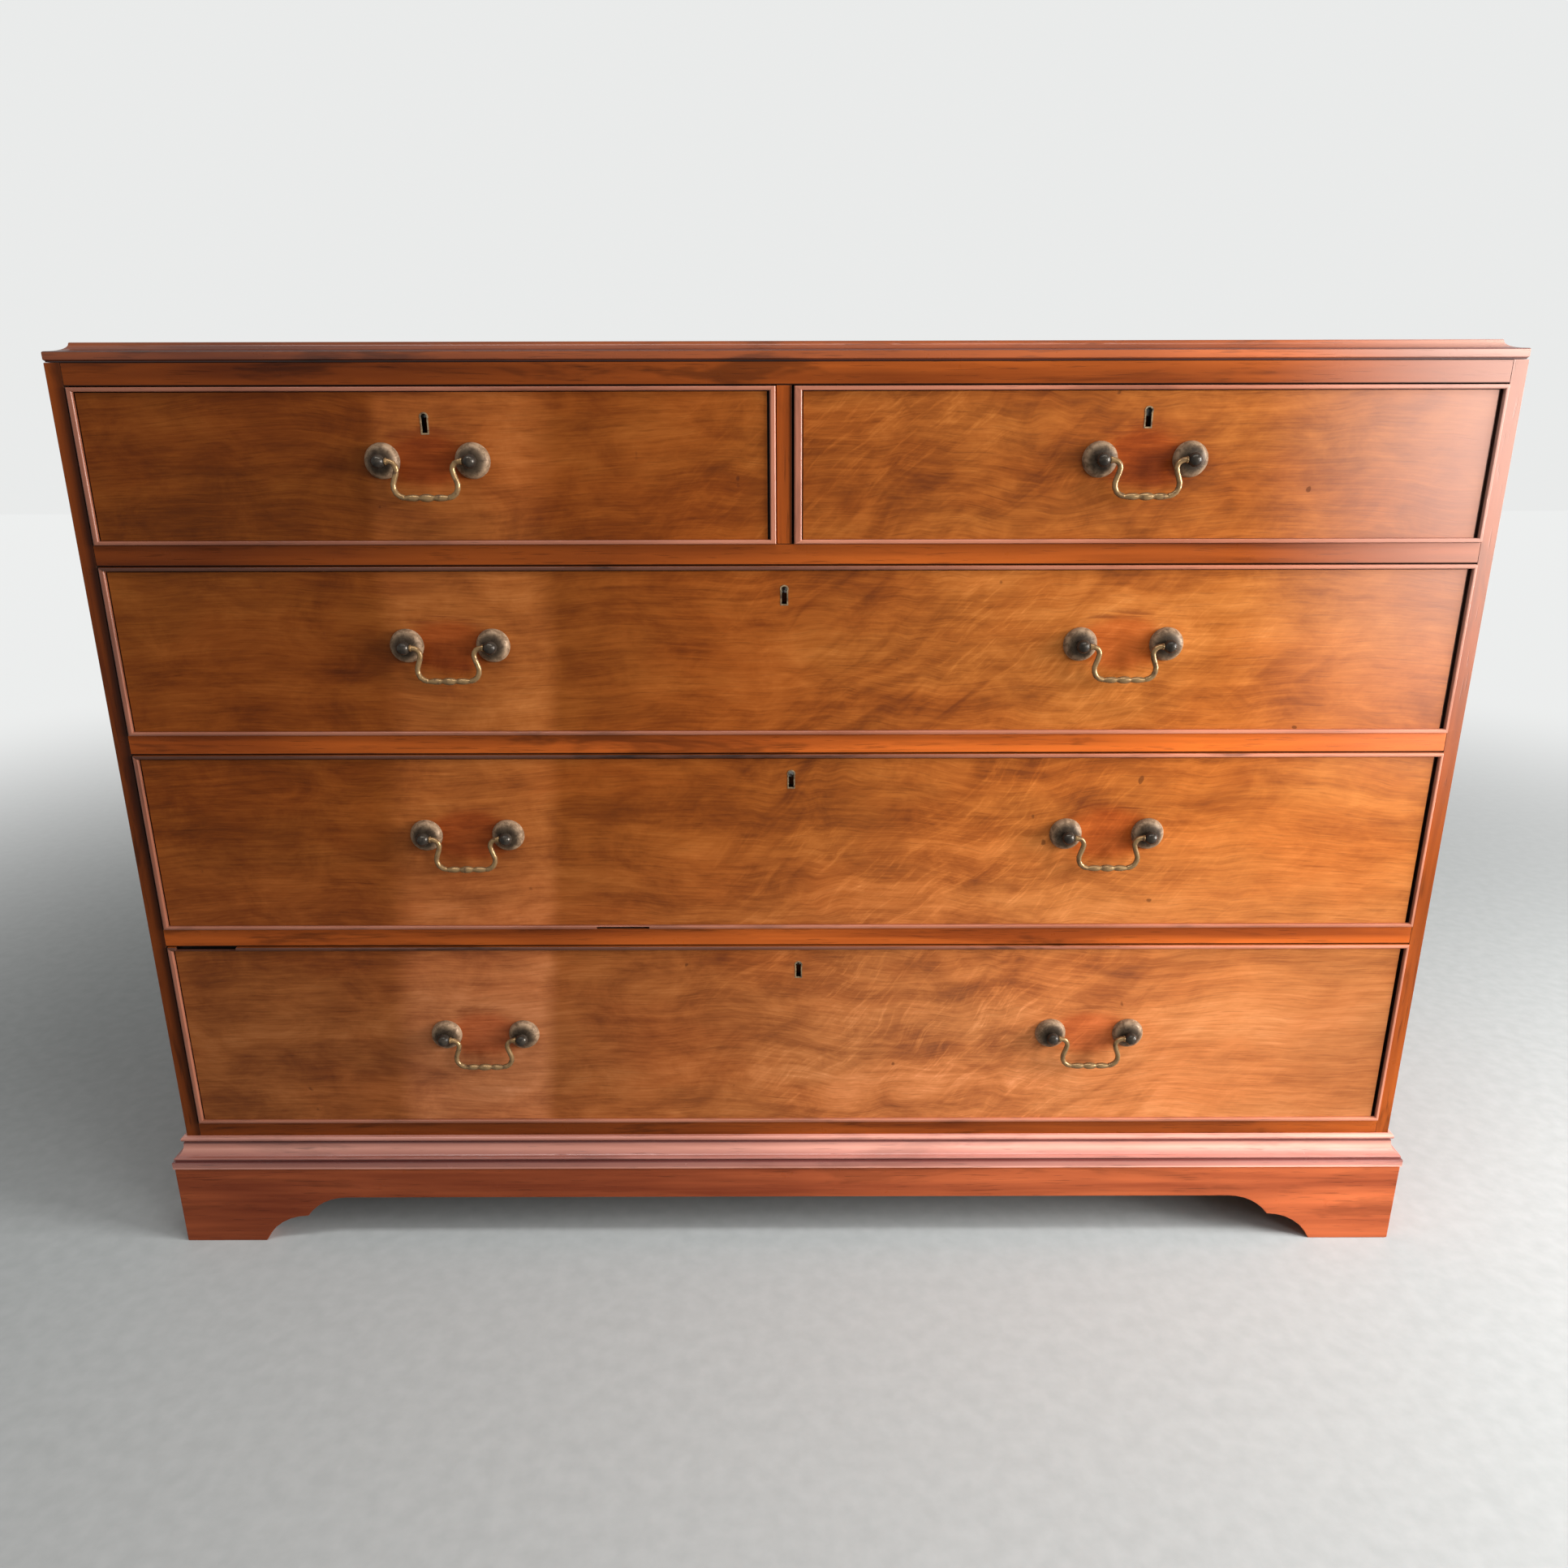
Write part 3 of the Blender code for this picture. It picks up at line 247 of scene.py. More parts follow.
def smooth(piece, angle=FACET_ANGLE):
    """Shades a piece smooth across its rounded edges and keeps its broad faces flat."""
    take(piece)
    bpy.ops.object.shade_smooth_by_angle(angle=angle)
    flat = piece.modifiers.new("flat_faces", "WEIGHTED_NORMAL")
    flat.keep_sharp = True
    finish_modifier(piece, flat)
    return piece


def copy_of(piece, name):
    """Another piece with a mesh of its own."""
    twin = bpy.data.objects.new(name, piece.data.copy())
    twin.data.name = name
    bpy.context.scene.collection.objects.link(twin)
    return twin


def clean_copy(node, name):
    """A copy of a CAD board with its loose triangles merged into plain faces."""
    piece = copy_of(NODES[node], name)
    with bench(piece):
        bpy.ops.mesh.select_all(action="SELECT")
        bpy.ops.mesh.customdata_custom_splitnormals_clear()
        bpy.ops.mesh.remove_doubles(threshold=MERGE_DISTANCE)
        bpy.ops.mesh.dissolve_limited(angle_limit=math.radians(0.5))
    return piece


def dress(piece, body, *finishes, slot=None, replaces=()):
    """Gives a finished piece its materials, its body and the nodes that it stands for; its slot is not used.
    """
    piece.data.materials.clear()
    for finish in finishes:
        piece.data.materials.append(finish)
    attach(piece, body)
    if replaces:
        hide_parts(*replaces)
    return piece


# Shader building


class Wire:
    """One output in a material, on which Python's arithmetic adds Math nodes."""

    def __init__(self, finish, socket):
        self.finish, self.socket = finish, socket

    def __add__(self, other):
        return self.finish.maths("ADD", self, other)

    def __sub__(self, other):
        return self.finish.maths("SUBTRACT", self, other)

    def __rsub__(self, other):
        return self.finish.maths("SUBTRACT", other, self)

    def __mul__(self, other):
        return self.finish.maths("MULTIPLY", self, other)

    def __truediv__(self, other):
        return self.finish.maths("DIVIDE", self, other)

    __radd__, __rmul__ = __add__, __mul__


class Finish:
    """A procedural material: wires go in and out of its nodes, constants sit on the shader's own sockets."""

    def __init__(self, name, **constants):
        self.material = bpy.data.materials.new(name)
        self.material.use_nodes = True
        self.tree = self.material.node_tree
        self.shader = self.tree.nodes["Principled BSDF"]
        for socket, value in constants.items():
            self.shader.inputs[socket.replace("_", " ")].default_value = value
        place = self.tree.nodes.new("ShaderNodeTexCoord")
        self.place = Wire(self, place.outputs["Object"])

    def node(self, kind, inputs, output=0, **settings):
        """Adds a node: settings first, then values or wires into its sockets; returns one output's wire."""
        made = self.tree.nodes.new(kind)
        for setting, value in settings.items():
            if setting == "stops":
                self.set_stops(made.color_ramp, value)
            else:
                setattr(made, setting, value)
        for socket, value in inputs.items():
            self.join(made.inputs[socket], value)
        return Wire(self, made.outputs[output])

    def join(self, socket, value):
        if isinstance(value, Wire):
            self.tree.links.new(value.socket, socket)
        else:
            socket.default_value = value

    @staticmethod
    def set_stops(ramp, stops):
        while len(ramp.elements) > 1:
            ramp.elements.remove(ramp.elements[-1])
        for index, (position, colour) in enumerate(stops):
            stop = ramp.elements[0] if index == 0 else ramp.elements.new(position)
            stop.position = position
            stop.color = (*colour, 1)

    def maths(self, operation, *values):
        return self.node("ShaderNodeMath", dict(enumerate(values)), operation=operation)

    def stretched(self, along, share):
        """The place on the piece, drawn out along the grain."""
        stretch = [1.0, 1.0, 1.0]
        stretch["xyz".index(along)] = share
        return self.node("ShaderNodeVectorMath", {0: self.place, 1: stretch}, operation="MULTIPLY")

    def axes(self):
        """The three coordinates of the place on the piece."""
        split = self.node("ShaderNodeSeparateXYZ", {0: self.place}).socket.node
        return [Wire(self, output) for output in split.outputs]

    def point(self, x, y, z):
        return self.node("ShaderNodeCombineXYZ", {0: x, 1: y, 2: z})

    def noise(self, vector, scale=1.0, detail=2.0, rough=0.5, warp=0.0):
        inputs = {"Vector": vector, "Scale": scale, "Detail": detail, "Roughness": rough, "Distortion": warp}
        return self.node("ShaderNodeTexNoise", inputs)

    def step(self, value, start, end, low=0.0, high=1.0):
        """Rises smoothly from low to high as the value goes from start to end."""
        inputs = {0: value, 1: start, 2: end, 3: low, 4: high}
        return self.node("ShaderNodeMapRange", inputs, interpolation_type="SMOOTHSTEP")

    def ramp(self, value, *stops):
        return self.node("ShaderNodeValToRGB", {0: value}, stops=stops)

    def mix(self, share, first, second, blend="MIX"):
        inputs = {0: share, 6: first, 7: second}
        return self.node("ShaderNodeMix", inputs, 2, data_type="RGBA", blend_type=blend)

    def tint(self, colour, value):
        """A colour made lighter or darker by a value."""
        return self.node("ShaderNodeVectorMath", {"Vector": colour, "Scale": value}, operation="SCALE")

    def surface(self, colour=None, rough=None, metal=None, height=None, depth=0.0002, strength=1.0):
        for name, wire in (("Base Color", colour), ("Roughness", rough), ("Metallic", metal)):
            if wire is not None:
                self.join(self.shader.inputs[name], wire)
        if height is not None:
            inputs = {"Height": height, "Distance": depth, "Strength": strength}
            self.join(self.shader.inputs["Normal"], self.node("ShaderNodeBump", inputs))
        return self.material


def rgb(red, green, blue):
    return (red, green, blue, 1)


# Finishes


def painted_window_light(finish):
    """How much painted window light each place takes: little at the left end, most at the right one, less
    behind the front.
    """
    x, y, _ = finish.axes()
    cloud = finish.noise(finish.place, 2.4, 2)
    across = finish.step(x + (cloud - 0.5) * 0.22, -0.62, 0.60)
    return across * finish.step(y, FRONT_Y + 0.08, FRONT_Y + 0.016, 0.3)


def painted_reflection(finish, colour, reach=0.016):
    """The colour with a painted reflection: pale at the upper right of the front, hardly changed behind a
    reach.
    """
    x, y, z = finish.axes()
    share = finish.step(x, 0.38, 0.64) * finish.step(z, 0.40, 0.86) * 0.85
    share = share * finish.step(y, FRONT_Y + reach * 3, FRONT_Y + reach, 0.05)
    return finish.mix(share, colour, rgb(0.58, 0.35, 0.29))


def straight_mahogany(
    name,
    along,
    dark,
    light,
    rough=0.30,
    gloss=1.2,
    stained=0.5,
    lift=1.0,
    lines=(),
    shade=None,
    shade_behind_front=False,
    steps=None,
):
    """Straight-grained mahogany, polished and stained, whose grain runs along one axis.

    A lift above one makes it lighter low down. Painted shade darkens it: shadow lines at some heights,
    shade from one x to another, and, where asked, the gaps just behind the front. Steps give a moulding's
    painted highlights and shadow lines from a height up.
    """
    finish = Finish(name, IOR=gloss)
    x, y, z = finish.axes()
    grain = finish.stretched(along, 0.045)
    bands = finish.noise(grain, 60, 3, 0.6, 0.3)
    ribbon = finish.noise(grain, 20, 2, 0.5, 0.8)
    pores = finish.noise(grain, 620, 2, 0.6)
    pore = finish.step(pores, 0.60, 0.70)
    cloud = finish.noise(finish.place, 5, 2)
    stain = finish.step(finish.noise(finish.stretched(along, 0.16), 38, 4, 0.65, 0.4), 0.54, 0.68)
    window_lit = painted_window_light(finish)
    figure = bands * 0.50 + ribbon * 0.35 + cloud * 0.25 - 0.05
    middle = [(a + b) / 2 for a, b in zip(dark, light)]
    wood = finish.ramp(figure, (0.38, dark), (0.52, middle), (0.66, light))
    # Lighter towards the right end: painted window light.
    tone = (1 - pore * 0.30) * (1 - stain * stained) * finish.step(window_lit, 0, 1, 0.76, 1.34)
    tone = tone * finish.step(z, 0.74, 0.50, 1 - (lift - 1) * 0.4, lift)
    wear = finish.noise(finish.place, 34, 4, 0.65)
    # Pale at the upper right: a painted reflection.
    colour = painted_reflection(finish, finish.tint(wood, tone), 0.001 if along == "z" else 0.016)
    # Painted shade: shadow lines at given heights, shade across an x range, and dark gaps just behind the
    # front.
    painted_shade = 1
    for line, reach in lines:
        away = finish.maths("ABSOLUTE", z - line)
        painted_shade = finish.step(away, reach * 0.6, reach * (0.8 + cloud), 0.12, 1.0) * painted_shade
    if shade:
        painted_shade = finish.step(x, *shade, 1.0, 0.28) * painted_shade
    if shade_behind_front:
        painted_shade = finish.step(y, FRONT_Y + 0.0002, FRONT_Y + 0.0016, 1.0, 0.06) * painted_shade
    if lines or shade or shade_behind_front:
        colour = finish.tint(colour, painted_shade)
    # Painted highlights and shadow lines up a moulding, from the given tones.
    if steps:
        start, tones = steps
        height = tones[-1][0]
        stops = [(up / height, (tone, tone ** 1.35, tone ** 1.3)) for up, tone in tones]
        colour = finish.mix(1.0, colour, finish.ramp((z - start) / height, *stops), "MULTIPLY")
    return finish.surface(
        colour,
        rough + (wear - 0.5) * 0.16 + pore * 0.12,
        height=pore * -0.6 + bands * 0.5 + wear * 0.4,
        depth=0.00025,
        strength=0.5,
    )


def figured_mahogany(name, handles):
    """A front's figured mahogany: level grain at the left, flames further right, ghosts at its handles."""
    finish = Finish(name, IOR=1.18)
    x, y, z = finish.axes()
    drift = finish.noise(finish.place, 2.6, 2) - 0.5
    swirl = finish.noise(finish.place, 9, 2, 0.5, 0.5) - 0.5
    depth = y * 30
    sweep = finish.step(x, -0.18, 0.06) * (1 - finish.step(x, 0.22, 0.46) * 0.8)
    level = z + drift * 0.06 + swirl * (sweep * 0.03 + 0.008)
    broad = finish.noise(finish.point(x * 2.2, depth, level * 17), 1, 3, 0.6, 0.3)
    streaks = finish.noise(finish.point(x * 10, depth, level * 190), 1, 3, 0.65, 0.2)
    hairs = finish.noise(finish.point(x * 34, depth, level * 620), 1, 2, 0.6)
    mottle = finish.noise(finish.point(x * 17, depth, z * 27), 1, 5, 0.66, 0.5)
    along = x * 0.72 + z * 0.69 + swirl * 0.02
    across = z * 0.72 - x * 0.69 + drift * 0.12 + swirl * 0.035
    wisps = finish.noise(finish.point(along * 26, depth, across * 210), 1, 4, 0.7, 0.3)
    waves = finish.noise(finish.point(along * 7, depth, across * 46), 1, 3, 0.55, 0.5)
    zone = finish.noise(finish.point(x * 6 + 3.1, y, z * 9), 1, 2)
    lit = finish.step(wisps, 0.48, 0.74) * finish.step(zone, 0.40, 0.60) * sweep
    shaded = finish.step(waves, 0.52, 0.30) * (finish.step(zone, 0.60, 0.36) * 0.7 + 0.3) * sweep
    calm = finish.step(x, 0.20, 0.45) * finish.step(z, 0.60, 0.30)
    figure = broad * 0.34 + streaks * 0.16 + hairs * 0.14 + mottle * 0.36 + lit * 0.10 - shaded * 0.09
    figure = figure - (mottle - 0.5) * calm * 0.22
    wood = finish.ramp(
        figure,
        (0.36, (0.150, 0.034, 0.006)),
        (0.44, (0.240, 0.057, 0.008)),
        (0.52, (0.345, 0.090, 0.013)),
        (0.61, (0.450, 0.130, 0.022)),
        (0.72, (0.600, 0.215, 0.050)),
    )
    ruddy = finish.step(finish.noise(finish.point(x * 4.5 + 7.7, y, z * 10), 1, 3, 0.6), 0.40, 0.64)
    wood = finish.mix(ruddy * 0.8, wood, rgb(1.03, 0.92, 0.86), "MULTIPLY")
    window_lit = painted_window_light(finish)
    pore = finish.step(finish.noise(finish.point(x * 40, depth, level * 900), 1, 1), 0.60, 0.72)
    # Lighter towards the right end: painted window light.
    tone = (1 - pore * 0.15) * finish.step(window_lit, 0, 1, 0.58, 1.31) * finish.step(z, 0.80, 0.20, 0.90, 1.28)
    tone = tone * (1 - finish.step(x, 0.40, 0.60) * finish.step(z, 0.55, 0.20) * 0.30)
    colour = finish.mix(finish.step(z, 0.50, 0.20), finish.tint(wood, tone), rgb(1.02, 1.20, 2.1), "MULTIPLY")
    colour = finish.mix(finish.step(x, -0.10, 0.14), colour, rgb(1.0, 1.14, 1.4), "MULTIPLY")
    # A pale band across the fronts left of the middle: a painted reflection.
    aslant = x - z * 0.07 + drift * 0.02
    edge = finish.step(z, 0.70, 0.62) * 0.020
    painted_band = finish.step(aslant, -0.410, edge - 0.392) * (1 - finish.step(aslant, edge - 0.282, -0.240))
    colour = finish.mix(painted_band * 0.60, colour, rgb(1.9, 2.2, 3.4), "MULTIPLY")
    # Near black in the trench round the raised face: painted shade.
    behind_face = finish.step(y, FRONT_Y + 0.0008, FRONT_Y + 0.0022)
    trench_shade = behind_face * finish.step(y, FRONT_Y + 0.0080, FRONT_Y + 0.0065)
    colour = finish.tint(colour, 1 - trench_shade * 0.985)
    ghost = scratch = None
    for handle in handles:
        aside = (x - handle.x) / 0.050
        above = (z - handle.z) / 0.030
        ring = finish.maths("SQRT", aside * aside + above * above) + drift * 0.4 + (mottle - 0.5) * 0.5
        mark = 1 - finish.step(ring, 0.55, 1.0)
        band = finish.step(ring, 0.62, 0.86) * (1 - finish.step(ring, 0.90, 1.12))
        arc = band * finish.step(above, 0.3, 0.8)
        ghost = mark if ghost is None else finish.maths("MAXIMUM", ghost, mark)
        scratch = arc if scratch is None else finish.maths("MAXIMUM", scratch, arc)
    rubbed = finish.mix(1.0, colour, rgb(0.86, 0.48, 0.36), "MULTIPLY")
    colour = finish.mix(ghost * 0.65, colour, rubbed)
    scratch = scratch * finish.step(streaks, 0.46, 0.60)
    colour = finish.mix(scratch * 0.6, colour, rgb(0.13, 0.022, 0.006))
    dents = finish.noise(finish.place, 60, 1, 0.5)
    dent = finish.step(dents, 0.79, 0.82)
    # Pale at the upper right: a painted reflection.
    colour = finish.mix(dent * 0.6, painted_reflection(finish, colour), rgb(0.07, 0.018, 0.006))
    smears = finish.noise(finish.point(x * 5, y, z * 16), 1, 4, 0.65, 0.6)
    return finish.surface(
        colour,
        0.26 + smears * 0.14 + pore * 0.10,
        height=hairs * 0.25 - pore * 0.5 - dent * 0.8 + streaks * 0.3,
        depth=0.0002,
        strength=0.35,
    )


def lining(name, along, dark, light, rough):
    """Plain unpolished timber with open grain."""
    finish = Finish(name, IOR=1.35)
    grain = finish.stretched(along, 0.05)
    bands = finish.noise(grain, 55, 3, 0.6, 0.7)
    pores = finish.step(finish.noise(grain, 480, 2, 0.6), 0.56, 0.70)
    stain = finish.noise(finish.place, 7, 3)
    wood = finish.ramp(bands * 0.7 + stain * 0.3, (0.34, dark), (0.66, light))
    return finish.surface(
        finish.tint(wood, (1 - pores * 0.35) * (stain * 0.5 + 0.75)),
        rough + stain * 0.1,
        height=bands * 0.6 - pores,
        depth=0.0003,
        strength=0.6,
    )


def old_brass(name, metal_colour, patina, amount, rough, metal=1.0, relief=0.4, hollow=None):
    """Brass that has browned in blotches, and is darkened between two depths by painted shade."""
    finish = Finish(name, IOR=1.25)
    blotch = finish.noise(finish.place, 180, 4, 0.6, 0.5)
    specks = finish.noise(finish.place, 900, 2, 0.6)
    cover = finish.step(blotch + (specks - 0.5) * 0.25, 0.62 - amount * 0.5, 0.86 - amount * 0.4)
    colour = finish.mix(cover, metal_colour, patina)
    # Painted shade between two depths.
    if hollow:
        _, y, _ = finish.axes()
        colour = finish.tint(colour, finish.step(y, *hollow, 1.0))
    return finish.surface(
        colour,
        rough + cover * 0.22 + (specks - 0.5) * 0.1,
        metal - cover * metal * 0.45,
        blotch * 0.6 + specks * 0.4,
        0.00015,
        relief,
    )


def lock_iron(name):
    finish = Finish(name)
    stain = finish.noise(finish.place, 120, 4, 0.6)
    rust = finish.step(stain, 0.52, 0.66)
    return finish.surface(
        finish.mix(rust, rgb(0.30, 0.29, 0.27), rgb(0.13, 0.065, 0.035)),
        0.38 + rust * 0.35,
        1 - rust * 0.8,
        stain,
        0.0002,
        0.5,
    )


CARCASS_TONES = ((0.150, 0.028, 0.004), (0.44, 0.096, 0.014))
TOP_TONES = ((0.130, 0.026, 0.006), (0.40, 0.092, 0.022))
# Tones up the top's edge: painted shadow lines in the quirk and above the fillet, painted highlights on the
# fillet and the hollow.
TOP_LIGHT_AND_SHADE = (
    (0.0, 0.16), (0.0009, 0.22), (0.0019, 1.0), (0.0074, 1.15), (0.0080, 0.35), (0.0092, 0.30),
    (0.0100, 0.85), (0.0148, 1.2), (0.0156, 0.9), (0.0170, 0.95),
)
TOP = {
    axis: straight_mahogany(
        f"top_mahogany_{axis}", axis, *TOP_TONES, gloss=1.42, steps=(TOP_LOW.z, TOP_LIGHT_AND_SHADE)
    )
    for axis in "xy"
}
PLINTH_TONES = ((0.215, 0.042, 0.015), (0.52, 0.125, 0.042))
PLINTH = {
    axis: straight_mahogany(f"plinth_mahogany_{axis}", axis, *PLINTH_TONES, stained=0.25)
    for axis in "xy"
}
# The base moulding's pale tones and the tones up it: painted highlights on the fillet's arris, the hollow and
# the bead, and painted shadow lines in the quirk and under the bead.
MOULDING_TONES = ((0.42, 0.155, 0.110), (0.66, 0.300, 0.235))
MOULDING_LIGHT_AND_SHADE = (
    (0.0, 1.30), (0.0018, 1.2), (0.0026, 0.85), (0.0068, 0.72), (0.0080, 0.26), (0.0094, 0.24),
    (0.0104, 0.75), (0.0118, 0.70), (0.0132, 0.75), (0.0185, 1.25), (0.0232, 1.0), (0.0249, 0.32),
    (0.0264, 0.30), (0.0276, 0.8), (0.0300, 1.1), (0.0330, 1.1),
)
MOULDING = {
    axis: straight_mahogany(
        f"moulding_mahogany_{axis}", axis, *MOULDING_TONES, 0.24, 1.5, 0.2, steps=(PLINTH_TOP, MOULDING_LIGHT_AND_SHADE)
    )
    for axis in "xy"
}
BEAD_TONES = ((0.26, 0.080, 0.040), (0.56, 0.215, 0.130))
# Beads go dark just behind the front: painted shade in the gaps.
BEAD = {
    axis: straight_mahogany(f"bead_mahogany_{axis}", axis, *BEAD_TONES, 0.24, 1.4, 0.3, shade_behind_front=True)
    for axis in "xz"
}
# The long drawers' upper beads: darker, and darker still towards the left, as painted shade under the rails.
SHADED_UPPER_BEAD = straight_mahogany(
    "shaded_upper_bead_mahogany", "x", *BEAD_TONES, 0.24, 1.3, 0.8, shade=(0.42, -0.05), shade_behind_front=True
)
BEAD_BACK = straight_mahogany("bead_back_mahogany", "x", *CARCASS_TONES)
OAK = {axis: lining(f"oak_{axis}", axis, (0.20, 0.115, 0.050), (0.40, 0.265, 0.140), 0.62) for axis in "xyz"}
PINE = lining("pine_x", "x", (0.16, 0.085, 0.038), (0.34, 0.215, 0.110), 0.70)
# Painted shade on the top of the rose's dome, round the ball.
ROSE_PAINTED_SHADE = (FRONT_Y - 0.0078, FRONT_Y - 0.0048, 0.16)
ROSE_BRASS = old_brass(
    "rose_brass", rgb(0.31, 0.205, 0.125), rgb(0.145, 0.088, 0.050), 0.5, 0.42, metal=0.1, hollow=ROSE_PAINTED_SHADE
)
BALL_BRASS = old_brass("ball_brass", rgb(0.050, 0.040, 0.030), rgb(0.020, 0.016, 0.013), 0.5, 0.14, metal=0.3)
BAIL_BRASS = old_brass(
    "bail_brass", rgb(0.27, 0.165, 0.075), rgb(0.085, 0.045, 0.024), 0.3, 0.2, metal=0.5, relief=0.15
)
# Near black for faces inside the openings: unpolished wood, darkened further by painted shade.
UNPOLISHED_AND_SHADED = lining("unpolished_shaded_mahogany", "x", (0.020, 0.008, 0.004), (0.055, 0.022, 0.010), 0.75)
# Painted shade: nearly black deeper inside the key way.
KEY_WAY_PAINTED_SHADE = (FRONT_Y + 0.0010, FRONT_Y + 0.0002, 0.03)
THREAD_TONES = (rgb(0.32, 0.22, 0.12), rgb(0.09, 0.058, 0.035))
THREAD_BRASS = old_brass("thread_brass", *THREAD_TONES, 0.5, 0.40, metal=0.2, hollow=KEY_WAY_PAINTED_SHADE)
IRON = lock_iron("lock_iron")


# Carcass

RAIL_NODES = ("top_rail", "short_drawer_rail", "upper_rail", "lower_rail", "bottom_rail")
EASED_BOARDS = {
    "left_side_panel": "z",
    "right_side_panel": "z",
    "short_drawer_divider": "z",
    **{rail: "x" for rail in RAIL_NODES},
}


def board_finish(node, along):
    """The finish of one board: painted shadow lines along a rail's edges, or painted shade at a stile's right
    edge.
    """
    low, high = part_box(node)
    if along == "x":
        # Painted shadow lines along the lower edge, and along the upper edge below the beads, or just under
        # the top on the top rail.
        lines = ((low.z, 0.0008), (high.z, 0.0005) if node == "top_rail" else (high.z - 0.0019, 0.0018))
        lift = 0.85 if node == "bottom_rail" else 1.5
        return straight_mahogany(f"{node}_mahogany", along, *CARCASS_TONES, lift=lift, lines=lines)
    # Painted shadow of the bead beside it, over the right edge of the left side and of the divider.
    reach = {"left_side_panel": 0.0100, "short_drawer_divider": 0.0035}.get(node)
    shade = (high.x - reach, high.x - SEAT * 2) if reach else None
    return straight_mahogany(f"{node}_mahogany", along, *CARCASS_TONES, lift=0.8, shade=shade)


def eased_carcass():
    """The sides, rails and divider, with their arrises rubbed round."""
    for node, along in EASED_BOARDS.items():
        piece = ease(clean_copy(node, f"{node}_polished"))
        finish = board_finish(node, along)
        dress(piece, "carcass", finish, UNPOLISHED_AND_SHADED, slot="mahogany_carcass", replaces=[node])
        # Faces inside the openings take the second, near-black finish: painted shade on unpolished wood.
        outward = {"left_side_panel": -1, "right_side_panel": 1}.get(node)
        for face in piece.data.polygons:
            across, up = face.normal.x, abs(face.normal.z)
            hidden = across * outward < -0.9 if outward else abs(across) > 0.9 or up > 0.9
            if hidden:
                face.material_index = 1
    for node, along in (("plinth_front", "x"), ("plinth_left", "y"), ("plinth_right", "y")):
        piece = ease(clean_copy(node, f"{node}_polished"), EASED_EDGE * 1.3)
        dress(piece, "carcass", PLINTH[along], slot="mahogany_carcass", replaces=[node])


def moulded_block(name, section, low_z, left, right, front, back):
    """A slab drawn up through a moulding's (inset, height) steps at its front and both ends."""
    first_inset, first_height = section[0]
    slab = sheet(
        name,
        (left + first_inset, front + first_inset, low_z + first_height),
        (right - first_inset, back, low_z + first_height),
    )
    centre_x = (left + right) / 2
    with bench(slab):
        bpy.ops.mesh.select_all(action="SELECT")
        inset, height = first_inset, first_height
        for next_inset, next_height in section[1:]:
            bpy.ops.mesh.extrude_region_move(
                TRANSFORM_OT_translate={"value": (0, 0, next_height - height)}
            )
            wide = (right - left - 2 * next_inset) / (right - left - 2 * inset)
            deep = (back - front - next_inset) / (back - front - inset)
            bpy.ops.transform.resize(
                value=(wide, deep, 1), center_override=(centre_x, back, low_z + next_height)
            )
            inset, height = next_inset, next_height
        bpy.ops.mesh.select_all(action="SELECT")
        bpy.ops.mesh.normals_make_consistent(inside=False)
    return slab


def curve_steps(start, end, steps, bulge):
    """Points from one (inset, height) to another along a quarter round that starts flat or upright."""
    points = []
    for step in range(1, steps + 1):
        turn = math.pi / 2 * step / steps
        across = math.sin(turn) if bulge == "flat_first" else 1 - math.cos(turn)
        up = 1 - math.cos(turn) if bulge == "flat_first" else math.sin(turn)
        points.append((start[0] + (end[0] - start[0]) * across, start[1] + (end[1] - start[1]) * up))
    return points


def top_section():
    """The edge of the top: quirk, upright fillet, hollow, and upper fillet with a rubbed arris."""
    section = [(0.0012, SEAT), (0.0012, 0.0012), (0.0004, 0.0019), (0.0, 0.0024), (0.0, 0.0078)]
    section += [(0.0003, 0.0084), (0.0009, 0.0088)]
    section += curve_steps((0.0012, 0.0090), (0.0148, 0.0153), 12, "flat_first")
    section += [(0.0150, 0.0159), (0.0155, 0.0163)]
    return section


def top_board():
    low_z = TOP_LOW.z - SEAT
    section = top_section()
    top = moulded_block("moulded_top", section, low_z, LEFT_OUT, RIGHT_OUT, FRONT_Y, BACK_Y)
    grooves = []
    for side in ("left_side_panel", "right_side_panel"):
        low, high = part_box(side)
        middle = (low.x + high.x) / 2
        reach = TONGUE_THICKNESS / 2 + SEAT
        grooves.append(
            block(
                "tongue_groove",
                (middle - reach, FRONT_Y + TONGUE_SETBACK - SEAT, low_z - SEAT),
                (middle + reach, BACK_Y - BACK_THICKNESS + SEAT, low_z + TONGUE_HEIGHT + SEAT),
            )
        )
    carve(top, *grooves)
    smooth(top, math.radians(30))
    dress(top, "carcass", TOP["x"], TOP["y"], slot="mahogany_carcass", replaces=["top_board"])
    run_grain_round(top)


def run_grain_round(piece):
    """Turns the grain along the depth on the faces of a mitred return."""
    for face in piece.data.polygons:
        if abs(face.normal.x) > abs(face.normal.y) and abs(face.normal.x) > 0.02:
            face.material_index = 1


